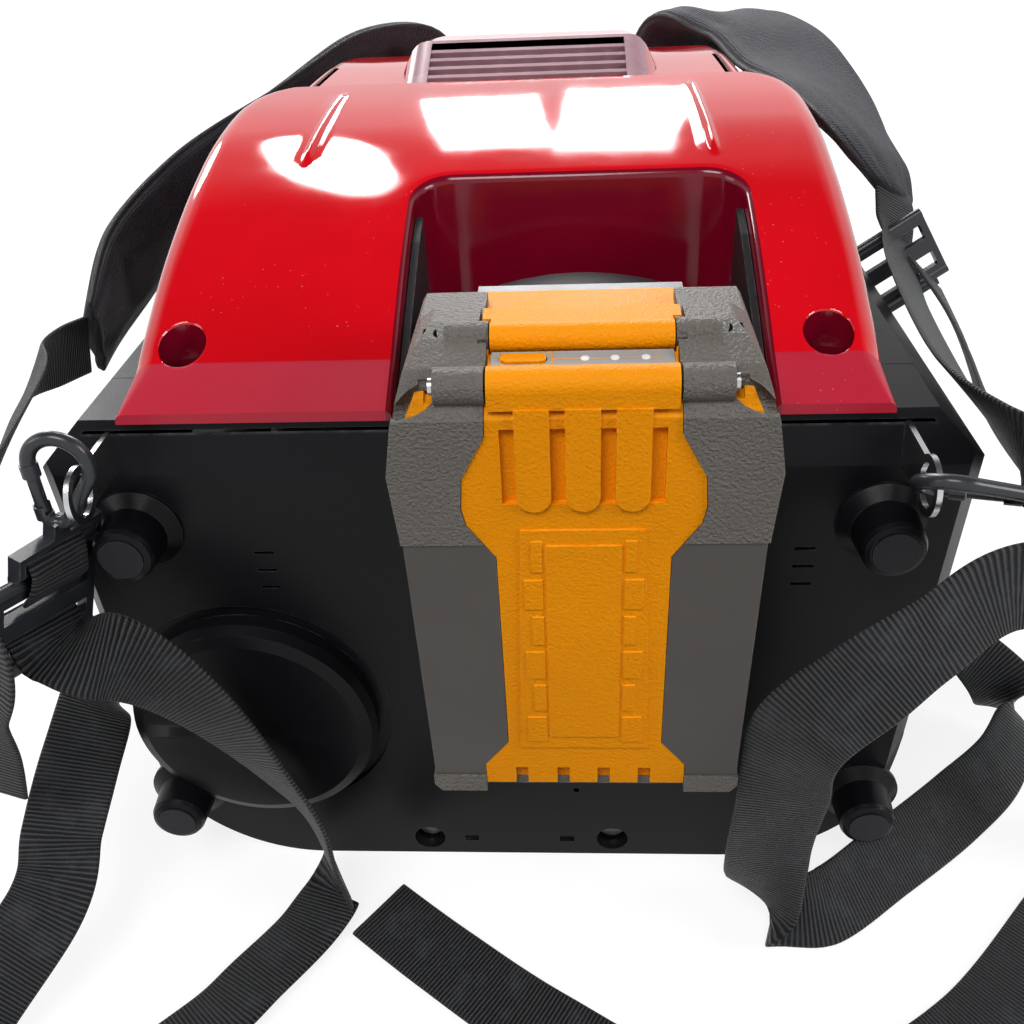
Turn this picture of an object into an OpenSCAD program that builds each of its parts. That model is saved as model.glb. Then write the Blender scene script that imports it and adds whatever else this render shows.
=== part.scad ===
// Backpack leaf blower, lying on its back.
// X runs across the pack, Y up the pack from its base, Z away from the wearer's back.

/* [Pack housing] */
// Width of the pack across its shoulders
pack_w = 264; // [262:1:270]
// Width of the pack just above its lower corners
low_w = 255; // [253:1:256]
// Width of the ledge that carries the rear cover
ledge_w = 234; // [230:1:240]
// Height of the ledge above the floor
ledge_h = 177; // [176:1:180]
// Height of the leaning band below the ledge
band_h = 15.5; // [12:0.5:18]
// How far the band leans back
band_lean = 4; // [2:0.5:6]
// Radius of the lower corners
corner_r = 57; // [55:1:60]
// Length of the pack, base to top end
pack_l = 400; // [396:1:410]
// Depth of the base cover, face to seam
cap_depth = 30; // [28:1:34]
// Wall thickness of the black housings
wall = 3; // [2.5:0.1:3.5]
// Width of the bevel down each upright edge of the base cover
edge_bevel = 5; // [3:0.5:6]

/* [Rear cover] */
// Wall thickness of the rear cover
cover_wall = 2.5; // [2:0.1:3]
// Half width of the rear cover
cover_half = 105; // [103:1:107]
// Height of the rear cover's front edge above the ledge
cover_lip = 3; // [2:0.5:4]
// Width of the notch over the battery
notch_w = 102; // [100:1:106]
// Depth of the notch
notch_d = 88; // [86:1:92]
// Radius of the notch's inner corners
notch_r = 12; // [8:1:16]
// Radius of the deep screw holes
cover_hole_r = 6.8; // [5.5:0.1:8]
// Sideways place of the deep screw holes
cover_hole_x = 90.3; // [86:0.1:93]
// Distance of the deep screw holes from the face
cover_hole_y = 23; // [20:0.5:26]

/* [Intake grille] */
// Width of the grille
grille_w = 88; // [80:1:90]
// Slats across the grille
grille_slats = 5; // [4:1:6]
// Thickness of one slat
slat_t = 2; // [1.5:0.1:2.5]
// Bars behind the slats
grille_bars = 7; // [5:1:9]

/* [Battery] */
// Sideways place of the battery
batt_x = 22.5; // [21:0.5:24]
// How far the battery's face stands out of the pack
batt_proud = 46.3; // [45:0.1:48]
// Height of the battery's lower end above the floor
batt_z = 85; // [84:0.5:87]
// Thickness of the grey bumpers over the inner case
bumper_t = 3; // [2.5:0.1:3.5]
// Thickness of the deck with the rails
deck_t = 25.4; // [25:0.1:26]
// Half width of the deck's rail head
rail_half = 33; // [32:0.5:34]
// Half width of the deck's neck
neck_half = 28; // [27:0.5:29]
// Running gap between battery and dock
slide_gap = 0.6; // [0.4:0.1:0.8]
// Radius of one cell
cell_r = 9.2; // [9:0.1:9.5]
// Length of one cell
cell_l = 65; // [60:1:66]
// Travel of the release lever
lever_travel = 3.5; // [2.5:0.1:4]
// Travel of the charge button
button_travel = 0.8; // [0.5:0.1:1]

/* [Dock] */
// Half width of the dock
dock_half = 39; // [38.5:0.5:41]
// Height of the dock's crown above the battery's lower end
dock_rise = 110; // [106:1:112]
// Radius of the dock's round top
dock_top_r = 89; // [80:1:100]
// Thickness of the dock's back
dock_back = 22; // [18:1:24]
// Contact blades
blades = 6; // [4:1:6]

/* [Fan] */
// Sideways place of the fan's axis
fan_x = -84; // [-84.4:0.1:-83.6]
// Height of the fan's axis above the floor
fan_z = 70; // [68:1:72]
// Inner radius of the fan duct
duct_r = 38.5; // [38:0.1:38.6]
// Wall of the fan duct
duct_wall = 2; // [1.6:0.1:2]
// Gap between blade tip and duct
tip_gap = 0.7; // [0.5:0.1:1]
// Radius of the fan's hub
hub_r = 21; // [19:0.5:22]
// Radius of the motor shaft
shaft_r = 3; // [2.5:0.1:4]
// Radial running gap of the shaft in its bearings
shaft_gap = 0.03; // [0.01:0.01:0.1]
// Blades on the impeller
fan_blades = 9; // [7:1:11]
// Vanes that carry the motor
motor_vanes = 7; // [5:1:9]

/* [Outlet] */
// Outer radius of the elbow's barrel
barrel_r = 39.5; // [38.5:0.1:40]
// Outer radius of the elbow's collar
collar_r = 33; // [30:0.5:34]
// Wall of the elbow
elbow_wall = 2.5; // [2:0.1:3]
// Reach of the collar from the barrel's axis
collar_reach = 101; // [95:1:105]
// Distance of the collar from the pack's face
collar_y = 130; // [128:1:134]
// Swing of the elbow each way, in degrees
elbow_swing = 15; // [10:1:15]
// Radius of the elbow's lower pivot
pivot_r = 5; // [4:0.5:6]

/* [Feet and harness] */
// Height of a foot
foot_h = 15.5; // [12:0.5:18]
// Radius of a foot
foot_r = 8.8; // [8:0.1:10]
// Width of the webbing
web_w = 25; // [23:1:27]
// Thickness of the webbing
web_t = 1.6; // [1.4:0.1:1.8]
// Width of a shoulder pad
pad_w = 62; // [58:1:66]
// Thickness of a shoulder pad
pad_t = 13; // [11:1:15]
// Thickness of the back pad
back_pad_t = 13; // [11:0.5:13.5]

/* [Hidden] */

$fn = 64;
eps = 0.01;
shoulder_h = ledge_h - band_h;
side_taper = atan((pack_w - low_w) / 2 / (shoulder_h - corner_r));

black = "#232325";
black_trim = "#2c2d30";
red = "#b00410";
yellow = "#e59a12";
grey = "#5a5853";
steel = "#b8bbbf";

// ---- construction helpers -------------------------------------------------

// A flat outline drawn in X and Z, run along Y
module along_y(y0, y1) {
  translate([0, y1, 0]) rotate([90, 0, 0]) linear_extrude(y1 - y0) children();
}

// A flat outline drawn in Y and Z, run along X
module along_x(x0, x1) {
  translate([x0, 0, 0]) rotate([90, 0, 90]) linear_extrude(x1 - x0) children();
}

// A cylinder along +Y from y0 to y1
module rod_y(r, y0, y1) {
  translate([0, y1, 0]) rotate([90, 0, 0]) cylinder(r = r, h = y1 - y0);
}

// A cylinder along +X from x0 to x1
module rod_x(r, x0, x1) {
  translate([x0, 0, 0]) rotate([0, 90, 0]) cylinder(r = r, h = x1 - x0);
}

// A profile of [radius, height] points turned about the Y axis, height along +Y
module turned_y(profile) {
  rotate([-90, 0, 0]) rotate_extrude() polygon(profile);
}

// The children and their mirror image across the pack's middle
module both_sides() {
  children();
  mirror([1, 0, 0]) children();
}

function unit(v) = v / norm(v);

// A point at share u of span i on a smooth curve through the points p
function curve_at(p, i, u) =
  let (n = len(p), a = p[max(i - 1, 0)], b = p[i], c = p[min(i + 1, n - 1)], d = p[min(i + 2, n - 1)])
  0.5 * (2 * b + (c - a) * u + (2 * a - 5 * b + 4 * c - d) * u * u
         + (3 * b - a - 3 * c + d) * u * u * u);

// A smooth curve with k steps in each span
function smooth(p, k) =
  [for (i = [0:len(p) - 2]) for (j = [0:k - 1]) curve_at(p, i, j / k), p[len(p) - 1]];

// A closed solid through rings of the same number of points
module loft(rings) {
  m = len(rings[0]);
  n = len(rings);
  points = [for (ring = rings) for (p = ring) p];
  sides = [
    for (i = [0:n - 2]) for (j = [0:m - 1])
      let (a = i * m + j, b = a + m, c = (i + 1) * m + (j + 1) % m, d = i * m + (j + 1) % m)
        for (t = [[a, b, c], [a, c, d]]) t
  ];
  ends = [for (j = [1:m - 2]) for (t = [[0, j, j + 1], [(n - 1) * m, (n - 1) * m + j + 1, (n - 1) * m + j]]) t];
  polyhedron(points, concat(sides, ends), convexity = 12);
}

// A section run along a route of [x, y, z, width direction] points
module swept(route, section, k = 4) {
  r = smooth(route, k);
  n = len(r);
  loft([
    for (i = [0:n - 1])
      let (
        a = r[max(i - 1, 0)], b = r[min(i + 1, n - 1)],
        t = unit([b[0] - a[0], b[1] - a[1], b[2] - a[2]]),
        lean = [r[i][3], r[i][4], r[i][5]],
        w = unit(lean - t * (lean * t)),
        h = cross(t, w)
      )
      [for (s = section) [r[i][0], r[i][1], r[i][2]] + w * s[0] + h * s[1]]
  ]);
}

// Section of flat webbing
function web_section(w = web_w) =
  [[-w / 2, -web_t / 2], [w / 2, -web_t / 2], [w / 2, web_t / 2], [-w / 2, web_t / 2]];

// Section of a cushion with a crown and drawn-in edges
function cushion_section(w, t, n = 16) = [
  for (i = [0:n - 1])
    let (a = 360 * i / n, c = cos(a), s = sin(a))
    [w / 2 * sign(c) * pow(abs(c), 0.55), t / 2 * sign(s) * pow(abs(s), 0.8)]
];

// ---- pack housing ---------------------------------------------------------

// Outline of the pack across X and Z, drawn in by t
module pack_outline(t = 0) {
  corner_x = low_w / 2 - corner_r;
  half = [
    [corner_x, t], [low_w / 2 - t, corner_r], [pack_w / 2 - t, shoulder_h - 0.4 * t],
    [ledge_w / 2 - 0.4 * t, ledge_h - t]
  ];
  polygon(concat(half, [for (i = [3:-1:0]) [-half[i][0], half[i][1]]]));
  for (s = [-1, 1]) translate([s * corner_x, corner_r]) circle(corner_r - t);
}

pocket_half = notch_w / 2 - 2.5;
pocket_z = batt_z - 3;
dome_r = 40;
dome_h = 9;
dome_fillet = 5;
foot_places = [[-106, 143.5], [106, 143.5], [-114.5, 34], [114.5, 34]];
base_screw_x = 32.5;
base_screw_z = 8;
base_screw_r = 5.5;
base_screw_depth = 8;
vent_x = [-71, 86];
vent_z = 121.5;
vent_pitch = 6.3;

// A foot stud with a flared root
module foot_stud() {
  turned_y([
    [0, 0.5], [foot_r + 4, 0.5], [foot_r + 4, -1], [foot_r + 0.6, -4], [foot_r, -foot_h + 2],
    [foot_r - 0.7, -foot_h + 0.6], [foot_r - 2, -foot_h], [0, -foot_h]
  ]);
}

// Raised round boss at the fan's axis, with a shallow trench round it
module base_dome(t) {
  turned_y([
    [0, wall], [dome_r - t, wall], [dome_r - t, -dome_h + dome_fillet + t],
    [dome_r - t - 1.5, -dome_h + 1.6 + t], [dome_r - dome_fillet, -dome_h + t],
    [0, -dome_h - 1.5 + t]
  ]);
}

module base_cover() {
  color(black)
  difference() {
    union() {
      difference() {
        intersection() {
          along_y(0, cap_depth) pack_outline();
          along_x(-pack_w, pack_w)
            polygon([[0, -1], [0, shoulder_h], [band_lean, ledge_h], [cap_depth + 1, ledge_h], [cap_depth + 1, -1]]);
        }
        along_y(wall, cap_depth + 1) pack_outline(wall);
        // bevel down each upright edge
        both_sides()
          translate([pack_w / 2, 0, shoulder_h]) rotate([0, side_taper, 0]) rotate([0, 0, 45])
            cube([edge_bevel * sqrt(2), edge_bevel * sqrt(2), 3 * shoulder_h], center = true);
        // shallow trench round the boss
        translate([fan_x, 0, fan_z]) difference() {
          rod_y(dome_r + 4, -1, 1);
          rod_y(dome_r - 1, -2, 2);
        }
      }
      translate([fan_x, 0, fan_z]) base_dome(0);
      for (p = foot_places) translate([p[0], 0, p[1]]) foot_stud();
      // screw wells behind the recesses
      both_sides() translate([base_screw_x, 0, base_screw_z]) rod_y(base_screw_r + 1.5, 0, base_screw_depth + 2);
      // seat for the elbow's lower pivot
      translate([fan_x, 0, fan_z]) rod_y(pivot_r + 4, -dome_h + 3, pivot_seat_y);
      // spigot lip that the main housing slips over
      difference() {
        along_y(cap_depth - 3, cap_depth + 5) pack_outline(wall);
        along_y(cap_depth - 4, cap_depth + 6) pack_outline(wall + 2);
      }
    }
    // inside of the boss, round the pivot seat
    difference() {
      translate([fan_x, 0, fan_z]) base_dome(wall - 0.5);
      translate([fan_x, 0, fan_z]) rod_y(pivot_r + 4, -dome_h - 3, wall + 1);
    }
    translate([fan_x, 0, fan_z]) rod_y(pivot_r, 0, pivot_seat_y + 1);
    for (p = foot_places) translate([p[0], 0, p[1]]) rod_y(foot_r - 2.4, -foot_h - 1, -foot_h + 2);
    both_sides() translate([base_screw_x, 0, base_screw_z]) {
      rod_y(base_screw_r, -1, base_screw_depth);
      rod_y(2, 0, base_screw_depth + 3);
    }
    // pocket for the battery
    translate([batt_x - pocket_half - 2.5, -1, pocket_z - 2.5]) cube([2 * pocket_half + 5, cap_depth + 10, ledge_h]);
    for (x = vent_x) for (i = [0:2]) translate([x - 3, -1, vent_z + i * vent_pitch - 0.5]) cube([6, wall + 2, 1]);
    lug_slots();
    // holes for the cover screws
    both_sides() translate([cover_hole_x, cover_hole_y, ledge_h - 8]) cylinder(r = 2.15, h = 12);
    // drain slots and a small gauge hole
    for (x = [-18, 16]) translate([x - 2, -1, base_screw_z - 1.5]) cube([5, 2, 3]);
    translate([20, 0, 33]) rod_y(1, -1, wall + 1);
  }
}

// Where the elbow's pivot starts
pivot_seat_y = 18;
top_round = 34;
window_y0 = collar_y - collar_r - 4;
window_y1 = collar_y + collar_r + 4;
window_half = collar_r / cos(elbow_swing) + (low_w / 2 + fan_x) * tan(elbow_swing) + 3;
panel_z = back_pad_t + 1;
panel_half = 98;
panel_y0 = cap_depth + 8;
panel_y1 = pack_l - 10;
duct_y0 = 184;
duct_y1 = 345;
bulkheads = [duct_y0 + 8, duct_y1 - 12];

// Solid of the main housing, drawn in by t
module housing_block(t) {
  intersection() {
    along_y(cap_depth + 0.3 - (t > 0 ? 1 : 0), pack_l - t) pack_outline(t);
    // round the top end in plan
    linear_extrude(2 * ledge_h) {
      translate([-pack_w, 0]) square([2 * pack_w, pack_l - top_round]);
      translate([-pack_w / 2 + top_round, 0]) square([pack_w - 2 * top_round, pack_l - t]);
      for (s = [-1, 1]) translate([s * (pack_w / 2 - top_round), pack_l - top_round]) circle(top_round - t);
    }
  }
}

module main_housing() {
  color(black_trim)
  difference() {
    union() {
      difference() {
        housing_block(0);
        housing_block(wall);
      }
      // frame round the back panel
      intersection() {
        housing_block(0);
        difference() {
          translate([-panel_half - 6, panel_y0 - 6, 0]) cube([2 * panel_half + 12, panel_y1 - panel_y0 + 12, panel_z + 3.5]);
          translate([-panel_half - 0.3, panel_y0 - 0.3, -1]) cube([2 * panel_half + 0.6, panel_y1 - panel_y0 + 0.6, panel_z + 10]);
        }
      }
      // shelf that the back panel is screwed to
      intersection() {
        housing_block(0);
        difference() {
          translate([-panel_half - 3, panel_y0 - 3, panel_z + 3.3]) cube([2 * panel_half + 6, panel_y1 - panel_y0 + 6, 3]);
          translate([-panel_half + 6, panel_y0 + 6, 0]) cube([2 * panel_half - 12, panel_y1 - panel_y0 - 12, 60]);
        }
      }
      // bulkheads that hold the fan duct
      for (y = bulkheads) intersection() {
        housing_block(0);
        translate([-pack_w / 2, y, panel_z + 6]) cube([pack_w / 2 - 34, 4, fan_z + duct_r + 8 - panel_z]);
      }
    }
    // opening under the rear cover
    translate([-95, cap_depth + 12, ledge_h - 8]) cube([190, pack_l - cap_depth - 40, 30]);
    // open back, closed by the back panel
    translate([-panel_half - 0.3, panel_y0 - 0.3, -1]) cube([2 * panel_half + 0.6, panel_y1 - panel_y0 + 0.6, panel_z + 4.3]);
    // window for the outlet
    translate([-pack_w, window_y0, fan_z - window_half]) cube([pack_w - 100, window_y1 - window_y0, 2 * window_half]);
    translate([fan_x, 0, fan_z]) rod_y(duct_r + duct_wall + 0.1, duct_y0, pack_l - 30);
    // room for the battery tray
    translate([batt_x - pocket_half - 3.2, 0, pocket_z - 3.2]) cube([2 * pocket_half + 6.4, tray_y1 + 1, ledge_h]);
    // slots that the shoulder pads leave through
    for (s = [-1, 1]) translate([s * 80 - pad_w / 2 - 2, pack_l - 22, -1]) cube([pad_w + 4, 40, pad_t + 8]);
    // room for the base cover's spigot lip
    difference() {
      along_y(cap_depth - 4, cap_depth + 5.3) pack_outline(wall - 0.2);
      along_y(cap_depth - 5, cap_depth + 6) pack_outline(wall + 2.3);
    }
  }
}

// ---- rear cover -----------------------------------------------------------

cover_r = 9;
crest_y = 181;
crest_z = ledge_h + 50.5;
// Stations of the cover's top: distance from the face, half width, height above the ledge
cover_stations = [
  [1, 0, cover_lip], [17, 0, 10.5], [28, 0, 16.5], [60, 0, 31], [95, 0, 42], [125, 0, 48],
  [150, 0, 50], [165, 1.5, 50.4], [175, 5, 50.5], [181, 10, 50.5], [184, 12, 46.5], [250, 12, 44.5],
  [310, 13, 38], [355, 15, 28], [380, 18, 17], [392, 22, 6]
];

// Ring of points across the cover at one station, drawn in by t
function cover_ring(s, t) =
  let (w = cover_half - s[1] - t, top = ledge_h + s[2] - t, r = min(cover_r, s[2] * 0.8), base = ledge_h - (t > 0 ? 5 : 0))
  concat(
    [[-w, s[0], base]],
    [for (a = [180:-18:90]) [-w + r + r * cos(a), s[0], top - r + r * sin(a)]],
    [for (a = [90:-18:0]) [w - r + r * cos(a), s[0], top - r + r * sin(a)]],
    [[w, s[0], base]]
  );

// Stations of the intake hood: distance, half width at the root, half width at the top, height
hood_x = 3;
hood_stations = [[189, 66, 47, 46], [220, 69, 46.5, 59], [300, 68, 45, 48], [378, 64, 40, 26]];

function hood_ring(s, t) = [
  [hood_x - s[1] + t, s[0] , ledge_h + 15], [hood_x - s[2] + t, s[0], ledge_h + s[3] - t],
  [hood_x + s[2] - t, s[0], ledge_h + s[3] - t], [hood_x + s[1] - t, s[0], ledge_h + 15]
];

module cover_solid(t) {
  loft([for (s = cover_stations) cover_ring([s[0] + (s[0] == 1 ? t : s[0] == 392 ? -t : 0), s[1], s[2]], t)]);
}

// Plan of the notch, grown by g
module notch_plan(g) {
  w = notch_w / 2 + g;
  r = notch_r + g;
  translate([batt_x, 0]) {
    translate([-w, -5]) square([2 * w, notch_d - notch_r + 5]);
    translate([-w + r, -5]) square([2 * w - 2 * r, notch_d + g + 5]);
    for (s = [-1, 1]) translate([s * (w - r), notch_d - notch_r]) circle(r);
  }
}

ramp_y = 189;
ramp_z = ledge_h + 46;
ramp_l = 33.6;
ramp_a = atan(13 / 31);

module rear_cover() {
  color(red)
  difference() {
    union() {
      difference() {
        union() {
          cover_solid(0);
          loft([for (s = hood_stations) hood_ring(s, 0)]);
        }
        cover_solid(cover_wall);
        loft([for (s = hood_stations) hood_ring([s[0] + (s[0] == 189 ? 4 : s[0] == 378 ? -4 : 0), s[1], s[2], s[3]], cover_wall)]);
      }
      // back wall of the notch
      intersection() {
        cover_solid(0);
        translate([0, 0, ledge_h + 0.3]) linear_extrude(60) difference() {
          notch_plan(cover_wall);
          notch_plan(0);
          translate([-200, -10]) square([400, notch_d - notch_r + 10]);
        }
      }
      // screw wells
      both_sides() translate([cover_hole_x, cover_hole_y, ledge_h]) intersection() {
        cylinder(r = cover_hole_r + 1.6, h = 30);
        translate([0, 0, 13]) rotate([27.3, 0, 0]) translate([-20, -20, -40]) cube([40, 40, 40]);
      }
      // ridges beside the hood
      both_sides() hull() {
        translate([66.5, 97, ledge_h + 42]) sphere(1.4, $fn = 16);
        translate([65.3, 130, ledge_h + 48.2]) sphere(1.4, $fn = 16);
        translate([64.5, 166, ledge_h + 50]) sphere(1.2, $fn = 16);
      }
    }
    translate([0, 0, ledge_h - 1]) linear_extrude(80) notch_plan(0);
    both_sides() translate([cover_hole_x, cover_hole_y, ledge_h + 2]) {
      cylinder(r = cover_hole_r, h = 40);
      translate([0, 0, -10]) cylinder(r = 2.2, h = 20);
    }
    // opening for the grille
    translate([hood_x - grille_w / 2, ramp_y, ramp_z]) rotate([ramp_a, 0, 0])
      translate([0, 2.5, -10]) cube([grille_w, ramp_l - 4.5, 20]);
  }
}

module intake_grille() {
  pitch = (ramp_l - 5.1) / grille_slats;
  color("#6d1420")
  translate([hood_x - grille_w / 2 + 0.3, ramp_y, ramp_z]) rotate([ramp_a, 0, 0]) translate([0, 2.8, -3]) {
    difference() {
      cube([grille_w - 0.6, ramp_l - 5.1, 2.6]);
      for (i = [0:grille_slats - 1])
        translate([3, i * pitch + slat_t, -1]) cube([grille_w - 6.6, pitch - slat_t, 5]);
    }
    for (i = [1:grille_bars])
      translate([i * (grille_w - 0.6) / (grille_bars + 1) - 0.8, 0, -3]) cube([1.6, ramp_l - 5.1, 3.2]);
  }
}

module cover_screws() {
  color(steel)
  both_sides() translate([cover_hole_x, cover_hole_y, ledge_h + 2]) difference() {
    union() {
      cylinder(r = 4.2, h = 3);
      translate([0, 0, -9]) cylinder(r = 2.1, h = 10);
    }
    translate([0, 0, 1.6]) cylinder(r = 2, h = 3, $fn = 6);
  }
}

module base_screws() {
  color(steel)
  both_sides() translate([base_screw_x, 0, base_screw_z]) difference() {
    union() {
      rod_y(4.2, base_screw_depth - 3, base_screw_depth);
      rod_y(1.9, base_screw_depth - 1, base_screw_depth + 8);
    }
    rod_y(2, base_screw_depth - 4, base_screw_depth - 1.6, $fn = 6);
  }
}

module foot_pads() {
  color("#151516")
  for (p = foot_places) translate([p[0], 0, p[1]]) rod_y(foot_r - 2.5, -foot_h - 0.5, -foot_h + 1.9);
}

// ---- battery tray and dock ------------------------------------------------

tray_y1 = notch_d - 0.4;

// The tray's walls below the ledge and up to the rear cover beside the notch
module battery_tray() {
  color(black)
  difference() {
    intersection() {
      union() {
        translate([batt_x - pocket_half - 2.5, 0.3, pocket_z - 2.5]) cube([2 * pocket_half + 5, tray_y1 - 0.3, 80]);
        translate([0, 0.3, 0]) linear_extrude(300) intersection() {
          notch_plan(-0.3);
          translate([batt_x - 100, 0]) square([200, tray_y1 - 0.3]);
        }
      }
      // follow the cover's slope, and stay level with the ledge in front of it
      along_x(-200, 200) polygon(concat(
        [[0, 0], [0, shoulder_h], [band_lean, ledge_h]],
        [for (i = [0:5]) [cover_stations[i][0] + 4, ledge_h + cover_stations[i][2] - 3.5]],
        [[200, ledge_h + 40], [200, 0]]
      ));
      translate([-200, 0, pocket_z - 2.5]) cube([400, 200, 300]);
    }
    // room for the battery and dock
    translate([batt_x - pocket_half, -5, pocket_z]) cube([2 * pocket_half, tray_y1 + 5 - 2.5, 300]);
    // the red back wall shows above the ledge
    translate([batt_x - 100, notch_d - notch_r, ledge_h + 0.2]) cube([200, 60, 100]);
  }
}

batt_back = -batt_proud + 84;
dock_y0 = batt_back + slide_gap;
dock_y1 = dock_y0 + dock_back;
dock_top = batt_z + dock_rise;

module battery_dock() {
  color(black_trim)
  difference() {
    translate([batt_x, 0, 0]) intersection() {
      translate([-dock_half, dock_y0 - 14, pocket_z + 0.3]) cube([2 * dock_half, 14 + dock_back, 200]);
      along_y(dock_y0 - 20, dock_y1 + 1) union() {
        translate([0, dock_top - dock_top_r]) circle(dock_top_r, $fn = 96);
        translate([-dock_half - 1, 0]) square([2 * dock_half + 2, dock_top - dock_top_r + 60]);
      }
    }
    // channel for the battery's deck: neck, then rail head
    translate([batt_x - neck_half - slide_gap, 0, batt_z - 0.4]) cube([2 * (neck_half + slide_gap), dock_y0, 200]);
    translate([batt_x - rail_half - slide_gap, batt_back - 7.4 - slide_gap, batt_z - 0.4])
      cube([2 * (rail_half + slide_gap), 7.4 + 2 * slide_gap, 200]);
    // channel for the latch tab, open at the top
    translate([batt_x - 9, dock_y0 - 1, batt_z + 84]) cube([18, 5.2, 120]);
    // hollow behind
    translate([batt_x - dock_half + 5, dock_y0 + 6, pocket_z - 1]) cube([2 * dock_half - 10, dock_back - 6 + 1, dock_rise - 22]);
    // slots for the contact blades
    for (i = [0:blades - 1]) translate([blade_x(i) - 0.6, dock_y0 - 8, batt_z + 12]) cube([1.2, 20, 22]);
  }
}

function blade_x(i) = batt_x + (i - (blades - 1) / 2) * 8;

module dock_contacts() {
  color("#c8993e") {
    for (i = [0:blades - 1]) translate([blade_x(i) - 0.5, batt_back - 6.5, batt_z + 12.2]) cube([1, 17, 21.6]);
    translate([batt_x - 26, dock_y0 + 6, batt_z + 10]) cube([52, 1.6, 26]);
  }
}

// ---- battery --------------------------------------------------------------

batt_body = 84 - deck_t;
// Half outline of the battery's face: half width and height above its lower end
batt_half = [
  [39.7, 0], [41.7, 2.5], [41.7, 11], [43.2, 85], [44.6, 103], [42.4, 116], [39.8, 125], [37.5, 128.5],
  [34.5, 130.8], [30, 132]
];
// Half outline of the yellow middle
mid_half = [
  [27, 0], [27, 10], [24.2, 13.6], [20.4, 18.5], [20.6, 80], [27.2, 89.5], [28.1, 94], [27.5, 102],
  [21.7, 113], [21, 132]
];

// Outline of the battery, drawn in by t
module batt_outline(t = 0) {
  pts = [for (p = batt_half) [p[0] - t, p[1] == 0 ? t : p[1] > 120 ? p[1] - t : p[1]]];
  polygon(concat(pts, [for (i = [len(pts) - 1:-1:0]) [-pts[i][0], pts[i][1]]]));
}

module mid_outline(g = 0) {
  pts = [for (p = mid_half) [p[0] + g, p[1]]];
  polygon(concat(pts, [for (i = [len(pts) - 1:-1:0]) [-pts[i][0], pts[i][1]]]));
}

// Moves the children from the battery's own frame to its place
module at_battery() {
  translate([batt_x, -batt_proud, batt_z]) children();
}

// Profile of the rounded release end, seen along X: what the end keeps
module end_profile(t = 0) {
  polygon([
    [t, -1], [t, 117], [3 + t / 2, 122 - t / 2], [8, 126 - t], [16, 129.5 - t], [22, 131 - t],
    [30, 131 - t], [33, 127 - t], [84, 126 - t], [84, -1]
  ]);
}

// The two cross bars of the release end: place in Y and Z, then radius
front_bar = [4.2, 123.6, 4.2];
rear_bar = [18.6, 128.2, 3.5];
rib_pitch = 11.2;
rib_w = 7.8;

module battery_case() {
  color(yellow)
  at_battery() difference() {
    union() {
      intersection() {
        along_y(bumper_t, batt_body) batt_outline(bumper_t);
        along_x(-60, 60) end_profile(bumper_t);
      }
      // raised middle
      intersection() {
        along_y(0.6, bumper_t + 1) intersection() {
          mid_outline();
          translate([-40, 3]) square([80, 120]);
        }
        along_x(-60, 60) end_profile(0.6);
      }
      // front cross bar, flat down its face, and the floor under the charge panel
      translate([0, front_bar[0], front_bar[1]]) rod_x(front_bar[2], -20.8, 20.8);
      translate([-20.8, 0, 119.4]) cube([41.6, 8, 4.2]);
      translate([-20.8, 4, 112]) cube([41.6, 10.6, 14]);
      // ribs with round ends
      for (i = [-1:1]) translate([i * rib_pitch, 0, 0]) along_y(-0.4, bumper_t + 1) {
        translate([-rib_w / 2, 97.3]) square([rib_w, 22.4]);
        translate([0, 97.3]) circle(rib_w / 2);
      }
      // stepped panel and the bare plate on it
      along_y(0.1, 1) polygon([[-17, 17], [17, 17], [14.6, 88], [-14.6, 88]]);
      along_y(-0.4, 1) translate([-9, 21.6]) square([18, 62.2]);
    }
    // channels between the ribs
    for (i = [-1.5:1:1.5]) translate([i * rib_pitch - 1.7, -1, 95]) cube([3.4, 3.2, 19.6]);
    // cell chamber
    translate([-36.5, 5.5, 7]) cube([73, batt_body - 5.5 - 1.6, 111]);
    // teeth along the lower edge
    for (x = [-17.2, -5.8, 5.2, 16.2]) translate([x - 1.7, -1, -1]) cube([3.4, bumper_t + 1.2, 9.8]);
    // seat for the charge panel
    translate([0, 8.4, 124.5]) rotate([9, 0, 0]) translate([-20.3, -0.05, -0.02]) cube([40.6, 8, 12]);
    // room for the release lever
    translate([-21, 14.7, 120.6]) cube([42, 9, 30]);
    translate([-23, 23.2, 120.6]) cube([46, 7.2, 30]);
    // room for the knuckles beside the bars
    both_sides() {
      translate([0, front_bar[0], front_bar[1]]) rod_x(front_bar[2] + 0.02, 21.2, 35);
      translate([0, rear_bar[0] + 0.9, rear_bar[1]]) rod_x(3.62, 20.9, 35);
    }
    // latch tab's slot
    translate([-8.4, 33, 84 - 0.4]) cube([16.8, 60, 16.8]);
  }
}

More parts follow.
